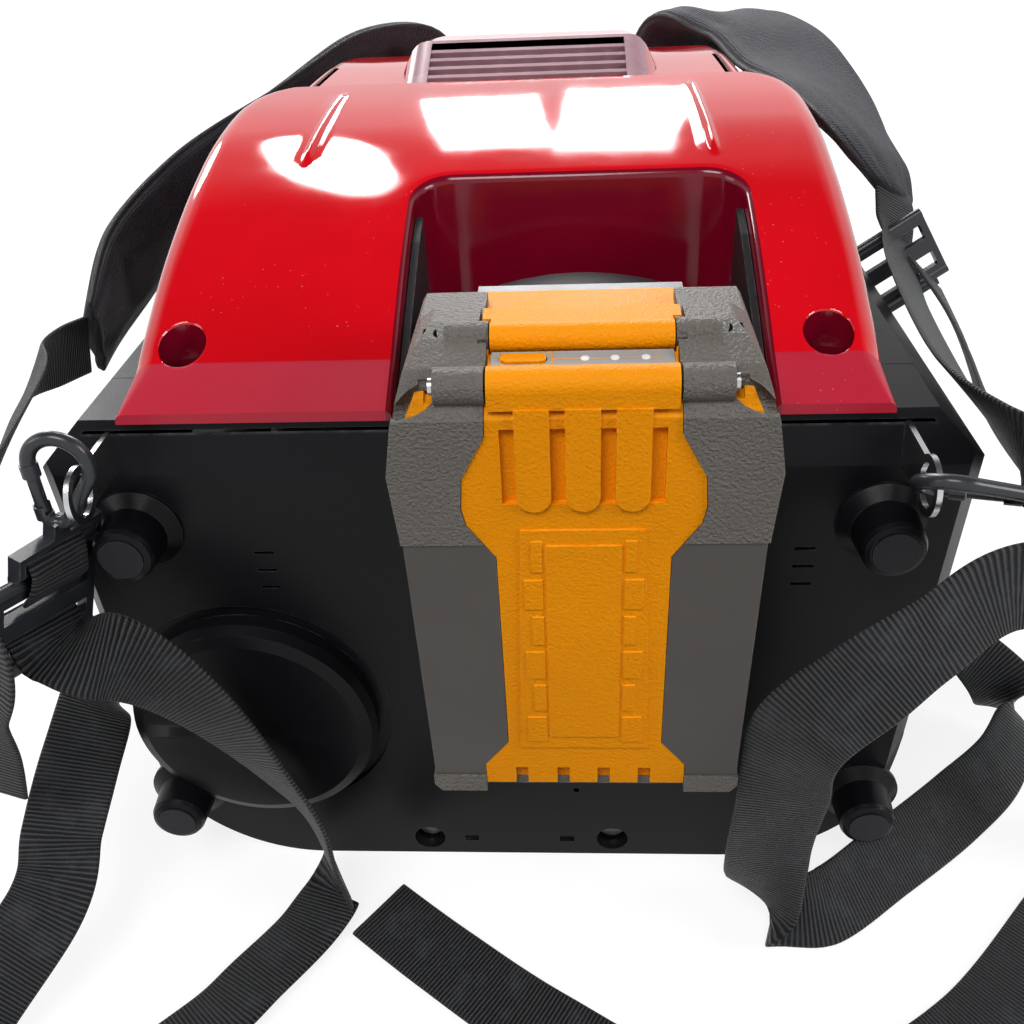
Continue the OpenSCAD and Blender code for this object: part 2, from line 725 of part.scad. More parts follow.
module battery_bumpers() {
  color(grey)
  at_battery() difference() {
    union() {
      difference() {
        intersection() {
          along_y(0, batt_body - 8) batt_outline();
          along_x(-60, 60) end_profile();
        }
        intersection() {
          along_y(bumper_t, 200) batt_outline(bumper_t);
          along_x(-60, 60) end_profile(bumper_t);
        }
        along_y(-1, bumper_t) mid_outline(0.15);
        // the smooth side panels take this stretch
        translate([-60, -1, 6]) cube([120, 100, 78]);
        translate([-21.3, -1, 108]) cube([42.6, 24, 40]);
        translate([-23.3, 14.6, 108]) cube([46.6, 80, 40]);
      }
      // knuckles at the ends of both bars
      both_sides() {
        translate([0, front_bar[0], front_bar[1]]) rod_x(front_bar[2], 21.3, 32.4);
        translate([0, rear_bar[0] + 0.9, rear_bar[1]]) rod_x(3.6, 21, 31);
      }
    }
    // screw seats, and the gouges that lead to them
    both_sides() {
      translate([0, front_bar[0], front_bar[1]]) rod_x(2.1, 31, 36);
      translate([0, rear_bar[0] + 0.9, rear_bar[1]]) rod_x(2.1, 29.6, 36);
      translate([32.6, front_bar[0] - 1, front_bar[1]]) rotate([0, 128, 0]) cylinder(r = 2.9, h = 14);
      translate([31.2, rear_bar[0], rear_bar[1]]) rotate([0, 128, 0]) cylinder(r = 2.9, h = 12);
    }
  }
}

module battery_side_panels() {
  color("#46443f")
  at_battery() difference() {
    intersection() {
      along_y(0.5, batt_body - 8) batt_outline(0.5);
      translate([-60, -1, 6.2]) cube([120, 100, 77.6]);
    }
    along_y(bumper_t, 200) batt_outline(bumper_t);
    along_y(-1, bumper_t) mid_outline(0.15);
  }
}

module battery_deck() {
  color(black)
  difference() {
    at_battery() {
      along_y(batt_body, 84 - 7.4) translate([-neck_half, 0]) square([2 * neck_half, 118]);
      along_y(84 - 7.4, 84) translate([-rail_half, 0]) square([2 * rail_half, 112]);
      along_y(batt_body, batt_body + 3) translate([-36, 0]) square([72, 118]);
    }
    // slots for the dock's blades, open at the lower end
    for (i = [0:blades - 1]) translate([blade_x(i) - 1, batt_back - 12, batt_z - 1]) cube([2, 20, 40]);
    at_battery() translate([-8.4, 33, 84 - 0.4]) cube([16.8, 60, 16.8]);
  }
}

module battery_cells() {
  color("#3f6fa8")
  at_battery() for (i = [0:4]) for (j = [0:2])
    translate([0, 5.5 + cell_r + 0.2 + j * 16.8, 7.4 + cell_r + i * 23]) rod_x(min(cell_r, 8.3), -cell_l / 2, cell_l / 2);
}

module battery_screws() {
  color(steel)
  at_battery() both_sides() {
    translate([0, front_bar[0], front_bar[1]]) rod_x(1.9, 31, 33.6);
    translate([0, rear_bar[0] + 0.9, rear_bar[1]]) rod_x(1.9, 29.6, 32.1);
  }
}

// Seat of the charge panel, in the battery's frame
module at_charge_panel() {
  at_battery() translate([0, 8.4, 124.5]) rotate([9, 0, 0]) children();
}

// Flat outline of the charge button, grown by g
module button_outline(g = 0) {
  translate([-13, 3.2]) {
    translate([-3.6, -1.5 - g]) square([7.2, 3 + 2 * g]);
    for (x = [-3.6, 3.6]) translate([x, 0]) circle(1.5 + g);
  }
}

module charge_panel() {
  color("#6b6a66")
  at_charge_panel() linear_extrude(1.3) difference() {
    translate([-20.2, 0.1]) square([40.4, 6.1]);
    button_outline(0.3);
  }
}

module charge_button() {
  color(yellow)
  at_charge_panel() translate([0, 0, 0.9]) linear_extrude(0.9) button_outline();
}

module release_lever() {
  color(yellow)
  at_battery() difference() {
    union() {
      translate([0, rear_bar[0], rear_bar[1]]) rod_x(rear_bar[2], -20.6, 20.6);
      translate([-20.6, rear_bar[0], 124.6]) cube([41.2, 5.2, 6.2]);
      translate([-22.6, 23.7, 124.6]) cube([45.2, 6.2, 6.2]);
    }
    // arch under the bar
    translate([-16.6, 10, 120]) cube([33.2, 11, 6.2]);
  }
}

module latch_tab() {
  color(black_trim)
  at_battery() difference() {
    translate([-8, 62, 84]) cube([16, 84 - 62 + 3, 16]);
    translate([-10, 84 + 3, 100]) rotate([-50, 0, 0]) translate([0, 0, -6]) cube([20, 12, 12]);
  }
}

// ---- fan unit -------------------------------------------------------------

module at_fan() {
  translate([fan_x, 0, fan_z]) children();
}

motor_y0 = 224;
motor_l = 56;
motor_r = hub_r - 1.2;
carrier_l = 36;
bearing_r = 8;
bearing_w = 5;
impeller_y = motor_y0 + motor_l + 4;
impeller_l = 28;

module fan_duct() {
  color(black_trim)
  at_fan() difference() {
    rod_y(duct_r + duct_wall, duct_y0, duct_y1);
    rod_y(duct_r, duct_y0 - 1, duct_y1 + 1);
  }
}

module inlet_ring() {
  color(black)
  at_fan() turned_y([
    [duct_r, duct_y1 + 0.1], [duct_r + duct_wall, duct_y1 + 0.1], [duct_r + duct_wall, duct_y1 + 6],
    [duct_r + 1.4, duct_y1 + 6], [duct_r + 0.4, duct_y1 + 4], [duct_r, duct_y1 + 2]
  ]);
}

module motor_carrier() {
  color(black)
  at_fan() {
    difference() {
      rod_y(hub_r + 1.5, motor_y0 + 2, motor_y0 + 2 + carrier_l);
      rod_y(motor_r + 0.05, motor_y0 + 1, motor_y0 + 3 + carrier_l);
    }
    intersection() {
      difference() {
        rod_y(duct_r - 0.15, motor_y0, motor_y0 + 4 + carrier_l);
        rod_y(hub_r + 1, motor_y0 - 1, motor_y0 + 5 + carrier_l);
      }
      for (i = [0:motor_vanes - 1]) rotate([0, i * 360 / motor_vanes, 0])
        translate([0, motor_y0 + 2 + carrier_l / 2, 0]) rotate([0, 0, 12])
          translate([0, 0, 30]) cube([1.8, carrier_l - 2, 26], center = true);
    }
  }
}

module motor_can() {
  color(steel)
  at_fan() difference() {
    rod_y(motor_r, motor_y0, motor_y0 + motor_l);
    rod_y(bearing_r, motor_y0 - 1, motor_y0 + bearing_w);
    rod_y(bearing_r, motor_y0 + motor_l - bearing_w, motor_y0 + motor_l + 1);
    rod_y(14, motor_y0 + bearing_w + 2, motor_y0 + motor_l - bearing_w - 2);
    rod_y(shaft_r + 1, motor_y0, motor_y0 + motor_l);
    for (i = [0:5]) rotate([0, i * 60, 0]) translate([0, motor_y0 + motor_l / 2, motor_r]) cube([3, motor_l - 16, 14], center = true);
  }
}

module motor_bearings() {
  color("#8f9398")
  at_fan() for (y = [motor_y0, motor_y0 + motor_l - bearing_w]) difference() {
    rod_y(bearing_r, y, y + bearing_w);
    rod_y(shaft_r + shaft_gap, y - 1, y + bearing_w + 1);
  }
}

module motor_shaft() {
  color("#9a9da2")
  at_fan() {
    rod_y(shaft_r, motor_y0 - 4, impeller_y + impeller_l - 6);
    // rotor on the shaft
    rod_y(13.2, motor_y0 + bearing_w + 3, motor_y0 + motor_l - bearing_w - 3);
  }
}

module impeller() {
  blade_r = duct_r - tip_gap;
  color("#3a3c40")
  at_fan() difference() {
    union() {
      turned_y([
        [0, impeller_y], [hub_r, impeller_y], [hub_r, impeller_y + 20], [hub_r - 2, impeller_y + 28],
        [hub_r - 7, impeller_y + 36], [hub_r - 13, impeller_y + 40], [0, impeller_y + 42]
      ]);
      intersection() {
        difference() {
          rod_y(blade_r, impeller_y + 1, impeller_y + 24);
          rod_y(hub_r - 1, impeller_y, impeller_y + 25);
        }
        for (i = [0:fan_blades - 1]) rotate([0, i * 360 / fan_blades, 0])
          translate([0, impeller_y, hub_r - 10]) linear_extrude(blade_r - hub_r + 12) intersection() {
            translate([14, -1]) difference() {
              circle(26);
              circle(24.2);
            }
            translate([-12, 1]) square([24, 23]);
          }
      }
    }
    rod_y(hub_r - 3, impeller_y - 1, impeller_y + 4);
    rod_y(shaft_r, impeller_y - 2, impeller_y + impeller_l - 6);
  }
}

module tail_cone() {
  color(black)
  at_fan() difference() {
    turned_y([[0, motor_y0 - 30], [6, motor_y0 - 28], [13, motor_y0 - 20], [hub_r - 2, motor_y0 - 8], [hub_r, motor_y0 - 0.1], [0, motor_y0 - 0.1]]);
    rod_y(shaft_r + 2, motor_y0 - 8, motor_y0);
  }
}

// ---- outlet ---------------------------------------------------------------

barrel_y0 = pivot_seat_y + 8;
barrel_y1 = duct_y0 - 1;
floor_y = collar_y - collar_r - 1;

module outlet_elbow() {
  color(black_trim)
  at_fan() difference() {
    union() {
      rod_y(barrel_r, floor_y - 2, barrel_y1);
      // lower stem down to the pivot
      turned_y([[0, barrel_y0], [pivot_r + 5, barrel_y0], [pivot_r + 5, floor_y - 18], [barrel_r, floor_y - 2], [0, floor_y - 2]]);
      translate([0, collar_y, 0]) rod_x(collar_r, -collar_reach, 0);
      translate([0, collar_y, 0]) rod_x(collar_r + 1.5, -collar_reach + 22, -collar_reach + 26);
    }
    rod_y(barrel_r - elbow_wall, floor_y + elbow_wall, barrel_y1 + 1);
    translate([0, collar_y, 0]) rod_x(collar_r - elbow_wall, -collar_reach - 1, 0);
    rod_y(pivot_r + shaft_gap, barrel_y0 - 1, barrel_y0 + 20);
  }
}

module elbow_pivot() {
  color(steel)
  at_fan() {
    rod_y(pivot_r, 0, barrel_y0 + 18);
    rod_y(pivot_r + 3, pivot_seat_y, barrel_y0 - 0.3);
  }
}

module elbow_seal() {
  color("#111112")
  at_fan() difference() {
    rod_y(duct_r + duct_wall, barrel_y1 + 0.3, duct_y0);
    rod_y(duct_r - 1, barrel_y1, duct_y0 + 1);
  }
}

// ---- electronics ----------------------------------------------------------

controller = [26, 120];

module motor_controller() {
  color("#1f5a36")
  translate([controller[0], controller[1], panel_z + 12]) {
    cube([66, 90, 1.6]);
    for (i = [0:2]) translate([10 + i * 18, 12, 1.6]) cylinder(r = 6, h = 22);
    translate([8, 40, 1.6]) cube([48, 10, 5]);
  }
}

module heat_sink() {
  color("#a8abb0")
  translate([controller[0] + 4, controller[1] + 54, panel_z + 13.7]) {
    cube([58, 32, 3]);
    for (i = [0:9]) translate([i * 6.2, 0, 0]) cube([2, 32, 22]);
  }
}

// ---- back and harness -----------------------------------------------------

module back_panel() {
  color(black)
  difference() {
    union() {
      translate([-panel_half, panel_y0, panel_z]) cube([2 * panel_half, panel_y1 - panel_y0, 3]);
      // posts of the controller
      for (x = [4, 62]) for (y = [4, 86]) translate([controller[0] + x, controller[1] + y, panel_z + 2]) cylinder(r = 3, h = 10);
    }
    for (s = [-1, 1]) translate([s * 80, panel_y1 - 14, panel_z - 1]) cylinder(r = 2.2, h = 6);
  }
}

// Back pad: a crowned cushion with two pressed channels
module back_pad() {
  rows = [0, 6, 18, 60, 120, 126, 132, 190, 196, 202, 260, 302, 314, 320];
  dip = [0.45, 0.8, 1, 1, 1, 0.55, 1, 1, 0.55, 1, 1, 1, 0.8, 0.45];
  y0 = panel_y0 + 14;
  color("#2b2b2e")
  loft([
    for (i = [0:len(rows) - 1])
      let (t = back_pad_t * dip[i], w = 84 - (1 - dip[i]) * 8)
      [for (a = [0:22.5:337.5]) let (c = cos(a), s = sin(a))
        [-w * sign(c) * pow(abs(c), 0.4), y0 + rows[i],
         panel_z - 0.3 - t / 2 + t / 2 * sign(s) * pow(abs(s), 0.5)]]
  ]);
}

// Handle at the top end: a grip on two legs
grip_half = 44;

module grab_handle() {
  color(black)
  translate([0, pack_l, 96]) linear_extrude(20) difference() {
    union() {
      translate([-grip_half, 0]) square([2 * grip_half, 26]);
      translate([-grip_half + 12, 0]) square([2 * grip_half - 24, 38]);
      for (s = [-1, 1]) translate([s * (grip_half - 12), 26]) circle(12);
    }
    translate([-grip_half + 10, -1]) square([2 * grip_half - 20, 21]);
    translate([-grip_half + 16, 0]) square([2 * grip_half - 32, 26]);
    for (s = [-1, 1]) translate([s * (grip_half - 16), 20]) circle(6);
  }
}

// Steel eye that stands out of the base cover at each upper corner
lug_x = pack_w / 2 - 22.8;
lug_z = ledge_h - 9.4;
lug_out = 20;
lug_t = 1.4;

module lug() {
  color(steel)
  translate([lug_x - lug_t / 2, 0, lug_z]) difference() {
    union() {
      translate([0, -lug_out, -6]) cube([lug_t, lug_out + 9, 12]);
      translate([0, -lug_out, 0]) rotate([0, 90, 0]) cylinder(r = 8, h = lug_t);
      // bent foot behind the wall
      translate([0, 7, -6]) cube([8.5, lug_t, 9]);
    }
    translate([-1, -lug_out, 0]) rotate([0, 90, 0]) cylinder(r = 5.8, h = lug_t + 2);
  }
}

// Slot for each eye
module lug_slots() {
  both_sides() translate([lug_x - lug_t / 2 - 0.02, -1, lug_z - 6.02]) cube([lug_t + 0.04, 20, 12.04]);
}

module left_lug() { mirror([1, 0, 0]) lug(); }
module right_lug() { lug(); }

// Hook: a round wire ring with a sprung side, and a bar for the webbing.
// In its own frame the ring lies across X and Z, with the bar below it along Y.
hook_wire = 2;
ring_top = 8;
ring_end = 3.5;
ring_span = 15;
ring_slope = asin((ring_top - ring_end) / ring_span);
gate_z0 = -7.5;
gate_z1 = 4;
bar_drop = 18;
bar_half = 15.2;

module ring_arc(r, from, sweep) {
  rotate([90, 0, 0]) rotate([0, 0, from]) rotate_extrude(angle = sweep) translate([r, 0]) circle(hook_wire, $fn = 32);
}

// Straight side of the ring, in its own frame, from height z0 to z1 along it
module ring_side(z0, z1, r = hook_wire) {
  translate([0, 0, ring_span / 2 - 1.5]) rotate([0, ring_slope, 0]) translate([ring_top, 0, z0]) cylinder(r = r, h = z1 - z0, $fn = 32);
}

side_l = ring_span * cos(ring_slope);

// turn swivels the neck and its bar
module hook(turn) {
  translate([0, 0, ring_span / 2 - 1.5]) ring_arc(ring_top, -ring_slope, 180 + 2 * ring_slope);
  translate([0, 0, -ring_span / 2 - 1.5]) ring_arc(ring_end, 180 + ring_slope, 180 - 2 * ring_slope);
  ring_side(-side_l - 0.6, 0.6, hook_wire - 0.1);
  // socket for the gate's free end, and the clevis it turns in
  mirror([1, 0, 0]) ring_side(-3, 0.8, hook_wire + 0.4);
  mirror([1, 0, 0]) difference() {
    ring_side(-side_l - 1.5, -side_l + 2.5, hook_wire + 0.4);
    ring_side(-side_l, -side_l + 3, hook_wire + 0.05);
    translate([0, 0, ring_span / 2 - 1.5]) rotate([0, ring_slope, 0])
      translate([ring_top - 5, -hook_wire - 0.05, -side_l]) cube([5, 2 * hook_wire + 0.1, 5]);
  }
  // neck and webbing bar
  translate([0, 0, -bar_drop]) rotate([0, 0, turn]) {
    translate([-hook_wire, -3, 0]) cube([2 * hook_wire, 6, 6.5]);
    for (s = [-1, 1]) translate([-hook_wire, s * (bar_half - 1) - 1, -4.5]) cube([2 * hook_wire, 2, 6.5]);
    translate([-hook_wire, -bar_half, 0]) cube([2 * hook_wire, 2 * bar_half, 2]);
    translate([0, bar_half, -4.5]) rotate([90, 0, 0]) cylinder(r = 1.8, h = 2 * bar_half, $fn = 32);
  }
}

module hook_gate() {
  mirror([1, 0, 0]) ring_side(-side_l + 0.8, -3.3, hook_wire - 0.3);
}

// Places a hook: ring centre, then ring long axis and bar direction
module at_hook(p, long, bar) {
  x = cross(bar, long);
  multmatrix([
    [x[0], bar[0], long[0], p[0]], [x[1], bar[1], long[1], p[1]], [x[2], bar[2], long[2], p[2]], [0, 0, 0, 1]
  ]) children();
}

left_long = unit([0.3, 0, 0.954]);
left_bar = [0, 1, 0];
left_ring = [-114.2, -lug_out, 171];
right_long = unit([-1, 0.12, 0.1]);
right_tilt = [0, 0.6, 0.8];
right_bar = unit(right_tilt - right_long * (right_long * right_tilt));
right_ring = [118.4, -26.6, 170.4];

module left_hook() {
  color("#3b3d42") at_hook(left_ring, left_long, left_bar) hook(-20);
}
module left_hook_gate() {
  color("#46484e") at_hook(left_ring, left_long, left_bar) hook_gate();
}
module right_hook() {
  color("#3b3d42") at_hook(right_ring, right_long, right_bar) hook(-18);
}
module right_hook_gate() {
  color("#46484e") at_hook(right_ring, right_long, right_bar) hook_gate();
}

// Ladder-lock buckle in its own frame: webbing across Y, run along Z
module buckle() {
  difference() {
    union() {
      translate([-1.8, -17, -13]) cube([3.6, 34, 26]);
      for (z = [-13, 13]) translate([0, 17, z]) rotate([90, 0, 0]) cylinder(r = 2.2, h = 34);
      // lifting lip
      translate([-1.8, -12, -18]) cube([1.8, 24, 5]);
    }
    for (z = [-6.2, 6.2]) translate([-5, -14.3, z - 3]) cube([10, 28.6, 6]);
  }
}

left_buckle_at = [-128.1, -24, 132.8];
left_buckle_u = unit([-0.42, -0.9, 0.09]);
left_buckle_v = unit([0.3, 0, 0.95]);
right_buckle_at = [154.4, 178.8, 151];
right_buckle_u = unit([0.62, 0.15, 0.5]);
right_buckle_v = unit([-0.5, 0.1, 0.82]);

module left_buckle() {
  color(black) at_hook(left_buckle_at, left_buckle_v, unit(cross(left_buckle_v, cross(left_buckle_u, left_buckle_v)))) buckle();
}
module right_buckle() {
  color(black) at_hook(right_buckle_at, right_buckle_v, unit(cross(right_buckle_v, cross(right_buckle_u, right_buckle_v)))) buckle();
}

// Slotted strap anchors low on each side of the main housing
anchor_y = 74;
anchor_z = 40;

module strap_anchors() {
  color(black) both_sides() translate([low_w / 2 + 0.15, anchor_y, anchor_z]) difference() {
    union() {
      translate([0, -17, -10]) cube([3, 34, 20]);
      for (s = [-1, 1]) translate([2, s * 15 - 2, -4]) cube([9, 4, 8]);
      translate([9, 17, 0]) rotate([90, 0, 0]) cylinder(r = 2.5, h = 34);
    }
  }
}

// ---- soft parts -----------------------------------------------------------

// Routes: x, y, z, width direction, and the share of full width and thickness
left_pad_route = [
  [-80, 379, 7.4, 1, 0, 0, 0.9, 0.6], [-80, 398, 8.4, 1, 0, 0, 1, 0.8], [-78, 416, 40, 1, 0, 0, 1, 1],
  [-76, 421, 110, 1, 0, 0, 1, 1], [-74, 415, 176, 1, 0, 0.1, 1, 1], [-82, 396, 202, 0.95, 0, 0.3, 1, 1],
  [-110, 362, 199, 0.75, 0.1, 0.65, 1, 1], [-146, 316, 173, 0.5, 0, 0.87, 1, 1],
  [-176, 262, 156, 0.3, 0, 0.95, 0.95, 1], [-188, 206, 142, 0.15, 0, 1, 0.85, 0.9],
  [-184, 158, 132, 0.1, 0, 1, 0.5, 0.5]
];
right_pad_route = [
  [80, 379, 7.4, 1, 0, 0, 0.9, 0.6], [80, 398, 8.4, 1, 0, 0, 1, 0.8], [79, 416, 40, 1, 0, 0, 1, 1],
  [80, 421, 110, 1, 0, 0, 1, 1], [84, 416, 180, 1, 0, 0, 1, 1], [96, 396, 212, 1, 0, 0, 1, 1],
  [120, 360, 212, 0.97, 0, -0.1, 1, 1], [134, 308, 200, 0.95, 0, -0.2, 1, 1],
  [142, 256, 192, 0.85, 0, -0.5, 0.95, 1], [149.5, 220, 184, 0.8, 0, -0.6, 0.8, 0.9],
  [155.4, 198.8, 173, 0.7, 0, -0.7, 0.5, 0.5]
];

// A cushion along a route, its width and thickness changing on the way
module cushion(route, k = 3) {
  r = smooth(route, k);
  n = len(r);
  loft([
    for (i = [0:n - 1])
      let (
        a = r[max(i - 1, 0)], b = r[min(i + 1, n - 1)],
        t = unit([b[0] - a[0], b[1] - a[1], b[2] - a[2]]),
        lean = [r[i][3], r[i][4], r[i][5]],
        w = unit(lean - t * (lean * t)),
        h = cross(t, w)
      )
      [for (s = cushion_section(pad_w * r[i][6], pad_t * r[i][7])) [r[i][0], r[i][1], r[i][2]] + w * s[0] + h * s[1]]
  ]);
}

module left_shoulder_pad() { color("#26262a") cushion(left_pad_route); }
module right_shoulder_pad() { color("#26262a") cushion(right_pad_route); }

// Webbing routes: x, y, z, then width direction
left_pad_webbing_route = [
  [-184.3, 152.8, 133.5, 0.1, 0, 1], [-187, 134, 137, 0.15, 0, 0.99], [-186, 110, 142, 0.45, 0, 0.89],
  [-173, 78, 148, 0.68, 0, 0.74], [-152.1, 7.5, 153, 0.52, -0.34, 0.78],
  [-145.1, -18.2, 150.7, 0.33, -0.36, 0.87], [-139.6, -34.4, 145.9, 0.47, -0.38, 0.8],
  [-138.3, -40.6, 136, 0.87, -0.34, 0.35], [-140.2, -41.7, 124.1, 0.9, -0.42, -0.08],
  [-146.5, -40.4, 111.4, 0.86, -0.43, -0.27], [-150.5, -40.5, 94, 0.99, -0.15, 0],
  [-154, -40, 78, 0.99, -0.15, 0]
];
left_hook_webbing_route = [
  [-126.6, -21.7, 138.6, -0.41, -0.9, 0.13], [-127.3, -20.9, 141.9, -0.41, -0.9, 0.13],
  [-127.3, -20.4, 145.4, -0.41, -0.9, 0.13], [-125.4, -20.3, 149.9, -0.33, -0.94, 0.1],
  [-123.6, -20.8, 152.4, -0.33, -0.94, 0.1], [-121.1, -21.8, 152.9, -0.33, -0.94, 0.1],
  [-119.2, -22.9, 151.8, -0.33, -0.94, 0.1], [-118.6, -23.5, 149.3, -0.33, -0.94, 0.1],
  [-119.1, -23.7, 146.5, -0.33, -0.94, 0.1], [-119.9, -24.1, 143.4, -0.41, -0.9, 0.13],
  [-121.6, -23.6, 141.1, -0.41, -0.9, 0.13], [-124.2, -22.8, 138.3, -0.41, -0.9, 0.13]
];
left_lower_strap_route = [
  [-130.4, -22.6, 135.1, -0.41, -0.9, 0.13], [-131.4, -22.8, 131.1, -0.41, -0.9, 0.13],
  [-130.8, -23.5, 127.8, -0.41, -0.9, 0.13], [-128.9, -24.8, 125.5, -0.41, -0.9, 0.13],
  [-128.2, -25.6, 122.8, -0.41, -0.9, 0.13], [-126.4, -26.1, 119.5, -0.41, -0.9, 0.13],
  [-117, -27.5, 119, -0.22, -0.81, -0.54], [-108.1, -28, 117, -0.44, -0.45, -0.78],
  [-97.6, -28, 109, -0.45, -0.1, -0.89], [-86.2, -28, 94.5, -0.52, 0.2, -0.83],
  [-73.6, -28.5, 72.9, -0.45, 0.48, -0.75], [-64.6, -28, 52, -0.35, 0.62, -0.7],
  [-61.6, -25, 29, -0.3, 0.76, -0.58], [-61.5, -20, 13, -0.45, 0.84, -0.3],
  [-64, -19.5, 4.4, -0.66, 0.74, -0.14], [-70.8, -34.5, 3.2, -0.82, 0.55, -0.17],
  [-83.3, -52.5, 3.2, -0.82, 0.55, -0.17], [-94.9, -68.2, 3.2, -0.82, 0.55, -0.17],
  [-121, -92, 3.2, -0.6, 0.8, -0.1], [-146, -101, 4, 0, 1, 0], [-168, -84, 8, 0.8, 0.6, 0.1],
  [-144.7, -50, 36.1, 0.99, 0.1, -0.1], [-142, -34, 50.8, 0.96, -0.05, -0.26],
  [-141.7, -16, 59.3, 0.9, -0.1, -0.43], [-143.4, 8, 65, 0.83, -0.21, -0.52],
  [-160, 38, 50, 0.74, -0.53, -0.42], [-157, 62, 45.6, 0.31, -0.94, -0.16],
  [-148, 73, 44.2, 0, -1, -0.05], [-139, 74, 44, 0, -1, 0]
];
right_hook_webbing_route = [
  [153.4, 172.8, 158.5, 0.66, 0.11, -0.74], [141.6, 122, 165, 0.67, 0, -0.74],
  [133.6, 60, 169, 0.69, 0, -0.72], [131.8, 24, 170.5, 0.67, 0, -0.74],
  [136.5, -4, 170, 0.45, -0.35, -0.82], [145.2, -21.2, 164.9, -0.13, -0.31, -0.94],
  [144.7, -26.3, 166.6, -0.13, -0.31, -0.94], [144.1, -29.1, 167.6, -0.13, -0.31, -0.94],
  [143.5, -31.3, 168.5, -0.13, -0.31, -0.94]
];
right_lower_strap_route = [
  [146.9, -31.5, 168.1, -0.13, -0.31, -0.94], [151.2, -33.9, 168.2, -0.13, -0.31, -0.94],
  [162, -26, 168, 0.12, -0.5, -0.86], [172, -27, 162, 0.2, -0.4, -0.9],
  [172, -32, 153, 0.33, -0.2, -0.92], [155, -36, 150, 0.42, -0.1, -0.9],
  [125.7, -40, 150, 0.47, -0.05, -0.88], [107.8, -47, 140.7, 0.44, -0.12, -0.89],
  [92.5, -51, 129.5, 0.45, -0.33, -0.83], [76.8, -51.5, 110.6, 0.59, -0.41, -0.69],
  [77.2, -45, 79.4, 0.89, -0.03, -0.46], [77.3, -38, 46.9, 0.98, -0.05, -0.18],
  [81.6, -31, 15, 0.61, -0.35, -0.71], [99.6, -29.7, 11.6, 0.59, -0.36, -0.72],
  [126, -10.2, 11, 0.59, -0.45, -0.67], [155.6, 13.8, 9.9, 0.56, -0.58, -0.59],
  [178, 34, 13, 0.3, -0.61, -0.73], [186, 54, 22, 0.2, -0.61, -0.77], [172, 68, 36, 0.11, -0.83, -0.55],
  [154, 73.5, 44.4, 0, -1, 0.05], [139, 74, 44, 0, -1, 0]
];
right_strap_tail_route = [
  [164.1, 169.9, 149.4, -0.7, -0.17, 0.7], [166, 134, 143, -0.55, -0.1, 0.8], [160, 90, 142, -0.4, -0.1, 0.9],
  [152.5, 40, 147, -0.5, 0, 0.85], [152, 8, 153, -0.4, 0.2, 0.9], [166, -8, 150, -0.3, 0.2, 0.9],
  [186, -8, 134, -0.15, -0.7, 0.6], [198, -6, 100, -0.05, -0.98, 0.1], [203, -2, 50, -0.1, -0.98, 0],
  [205, -4, 18, -0.1, -0.98, 0], [202, -6, 5, -0.1, -0.98, 0], [195, -9, 2, 0.2, -0.98, 0],
  [180, -25, 1.4, 0.64, -0.76, 0], [140, -64, 1.4, 0.57, -0.82, 0], [96, -88, 1.4, 0.3, -0.95, 0],
  [56, -90, 1.4, -0.25, -0.97, 0], [10, -66, 1.4, -0.5, -0.86, 0], [-24, -43, 1.4, -0.58, -0.82, 0],
  [-48, -25, 1.4, -0.6, -0.8, 0]
];

module webbing(route, w = web_w, k = 3) { color("#1c1c1e") swept(route, web_section(w), k); }

module left_pad_webbing() { webbing(left_pad_webbing_route); }
module left_hook_webbing() { webbing(left_hook_webbing_route, web_w - 5); }
module left_lower_strap() { webbing(left_lower_strap_route); }
module right_hook_webbing() { webbing(right_hook_webbing_route); }
module right_lower_strap() { webbing(right_lower_strap_route); }
module right_strap_tail() { webbing(right_strap_tail_route); }

base_cover();
main_housing();
rear_cover();
intake_grille();
battery_tray();
foot_pads();
base_screws();
cover_screws();
battery_dock();
dock_contacts();
battery_case();
battery_bumpers();
battery_side_panels();
battery_deck();
battery_cells();
battery_screws();
charge_panel();
charge_button();
release_lever();
latch_tab();
fan_duct();
inlet_ring();
motor_carrier();
motor_can();
motor_shaft();
motor_bearings();
impeller();
tail_cone();
outlet_elbow();
elbow_seal();
elbow_pivot();
motor_controller();
heat_sink();
back_panel();
back_pad();
grab_handle();
left_lug();
right_lug();
left_hook();
left_hook_gate();
right_hook();
right_hook_gate();
left_buckle();
right_buckle();
strap_anchors();
left_shoulder_pad();
right_shoulder_pad();
left_pad_webbing();
left_hook_webbing();
left_lower_strap();
right_hook_webbing();
right_lower_strap();
right_strap_tail();
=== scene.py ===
import math

import bmesh
import bpy
from mathutils import Matrix, Vector, geometry, noise


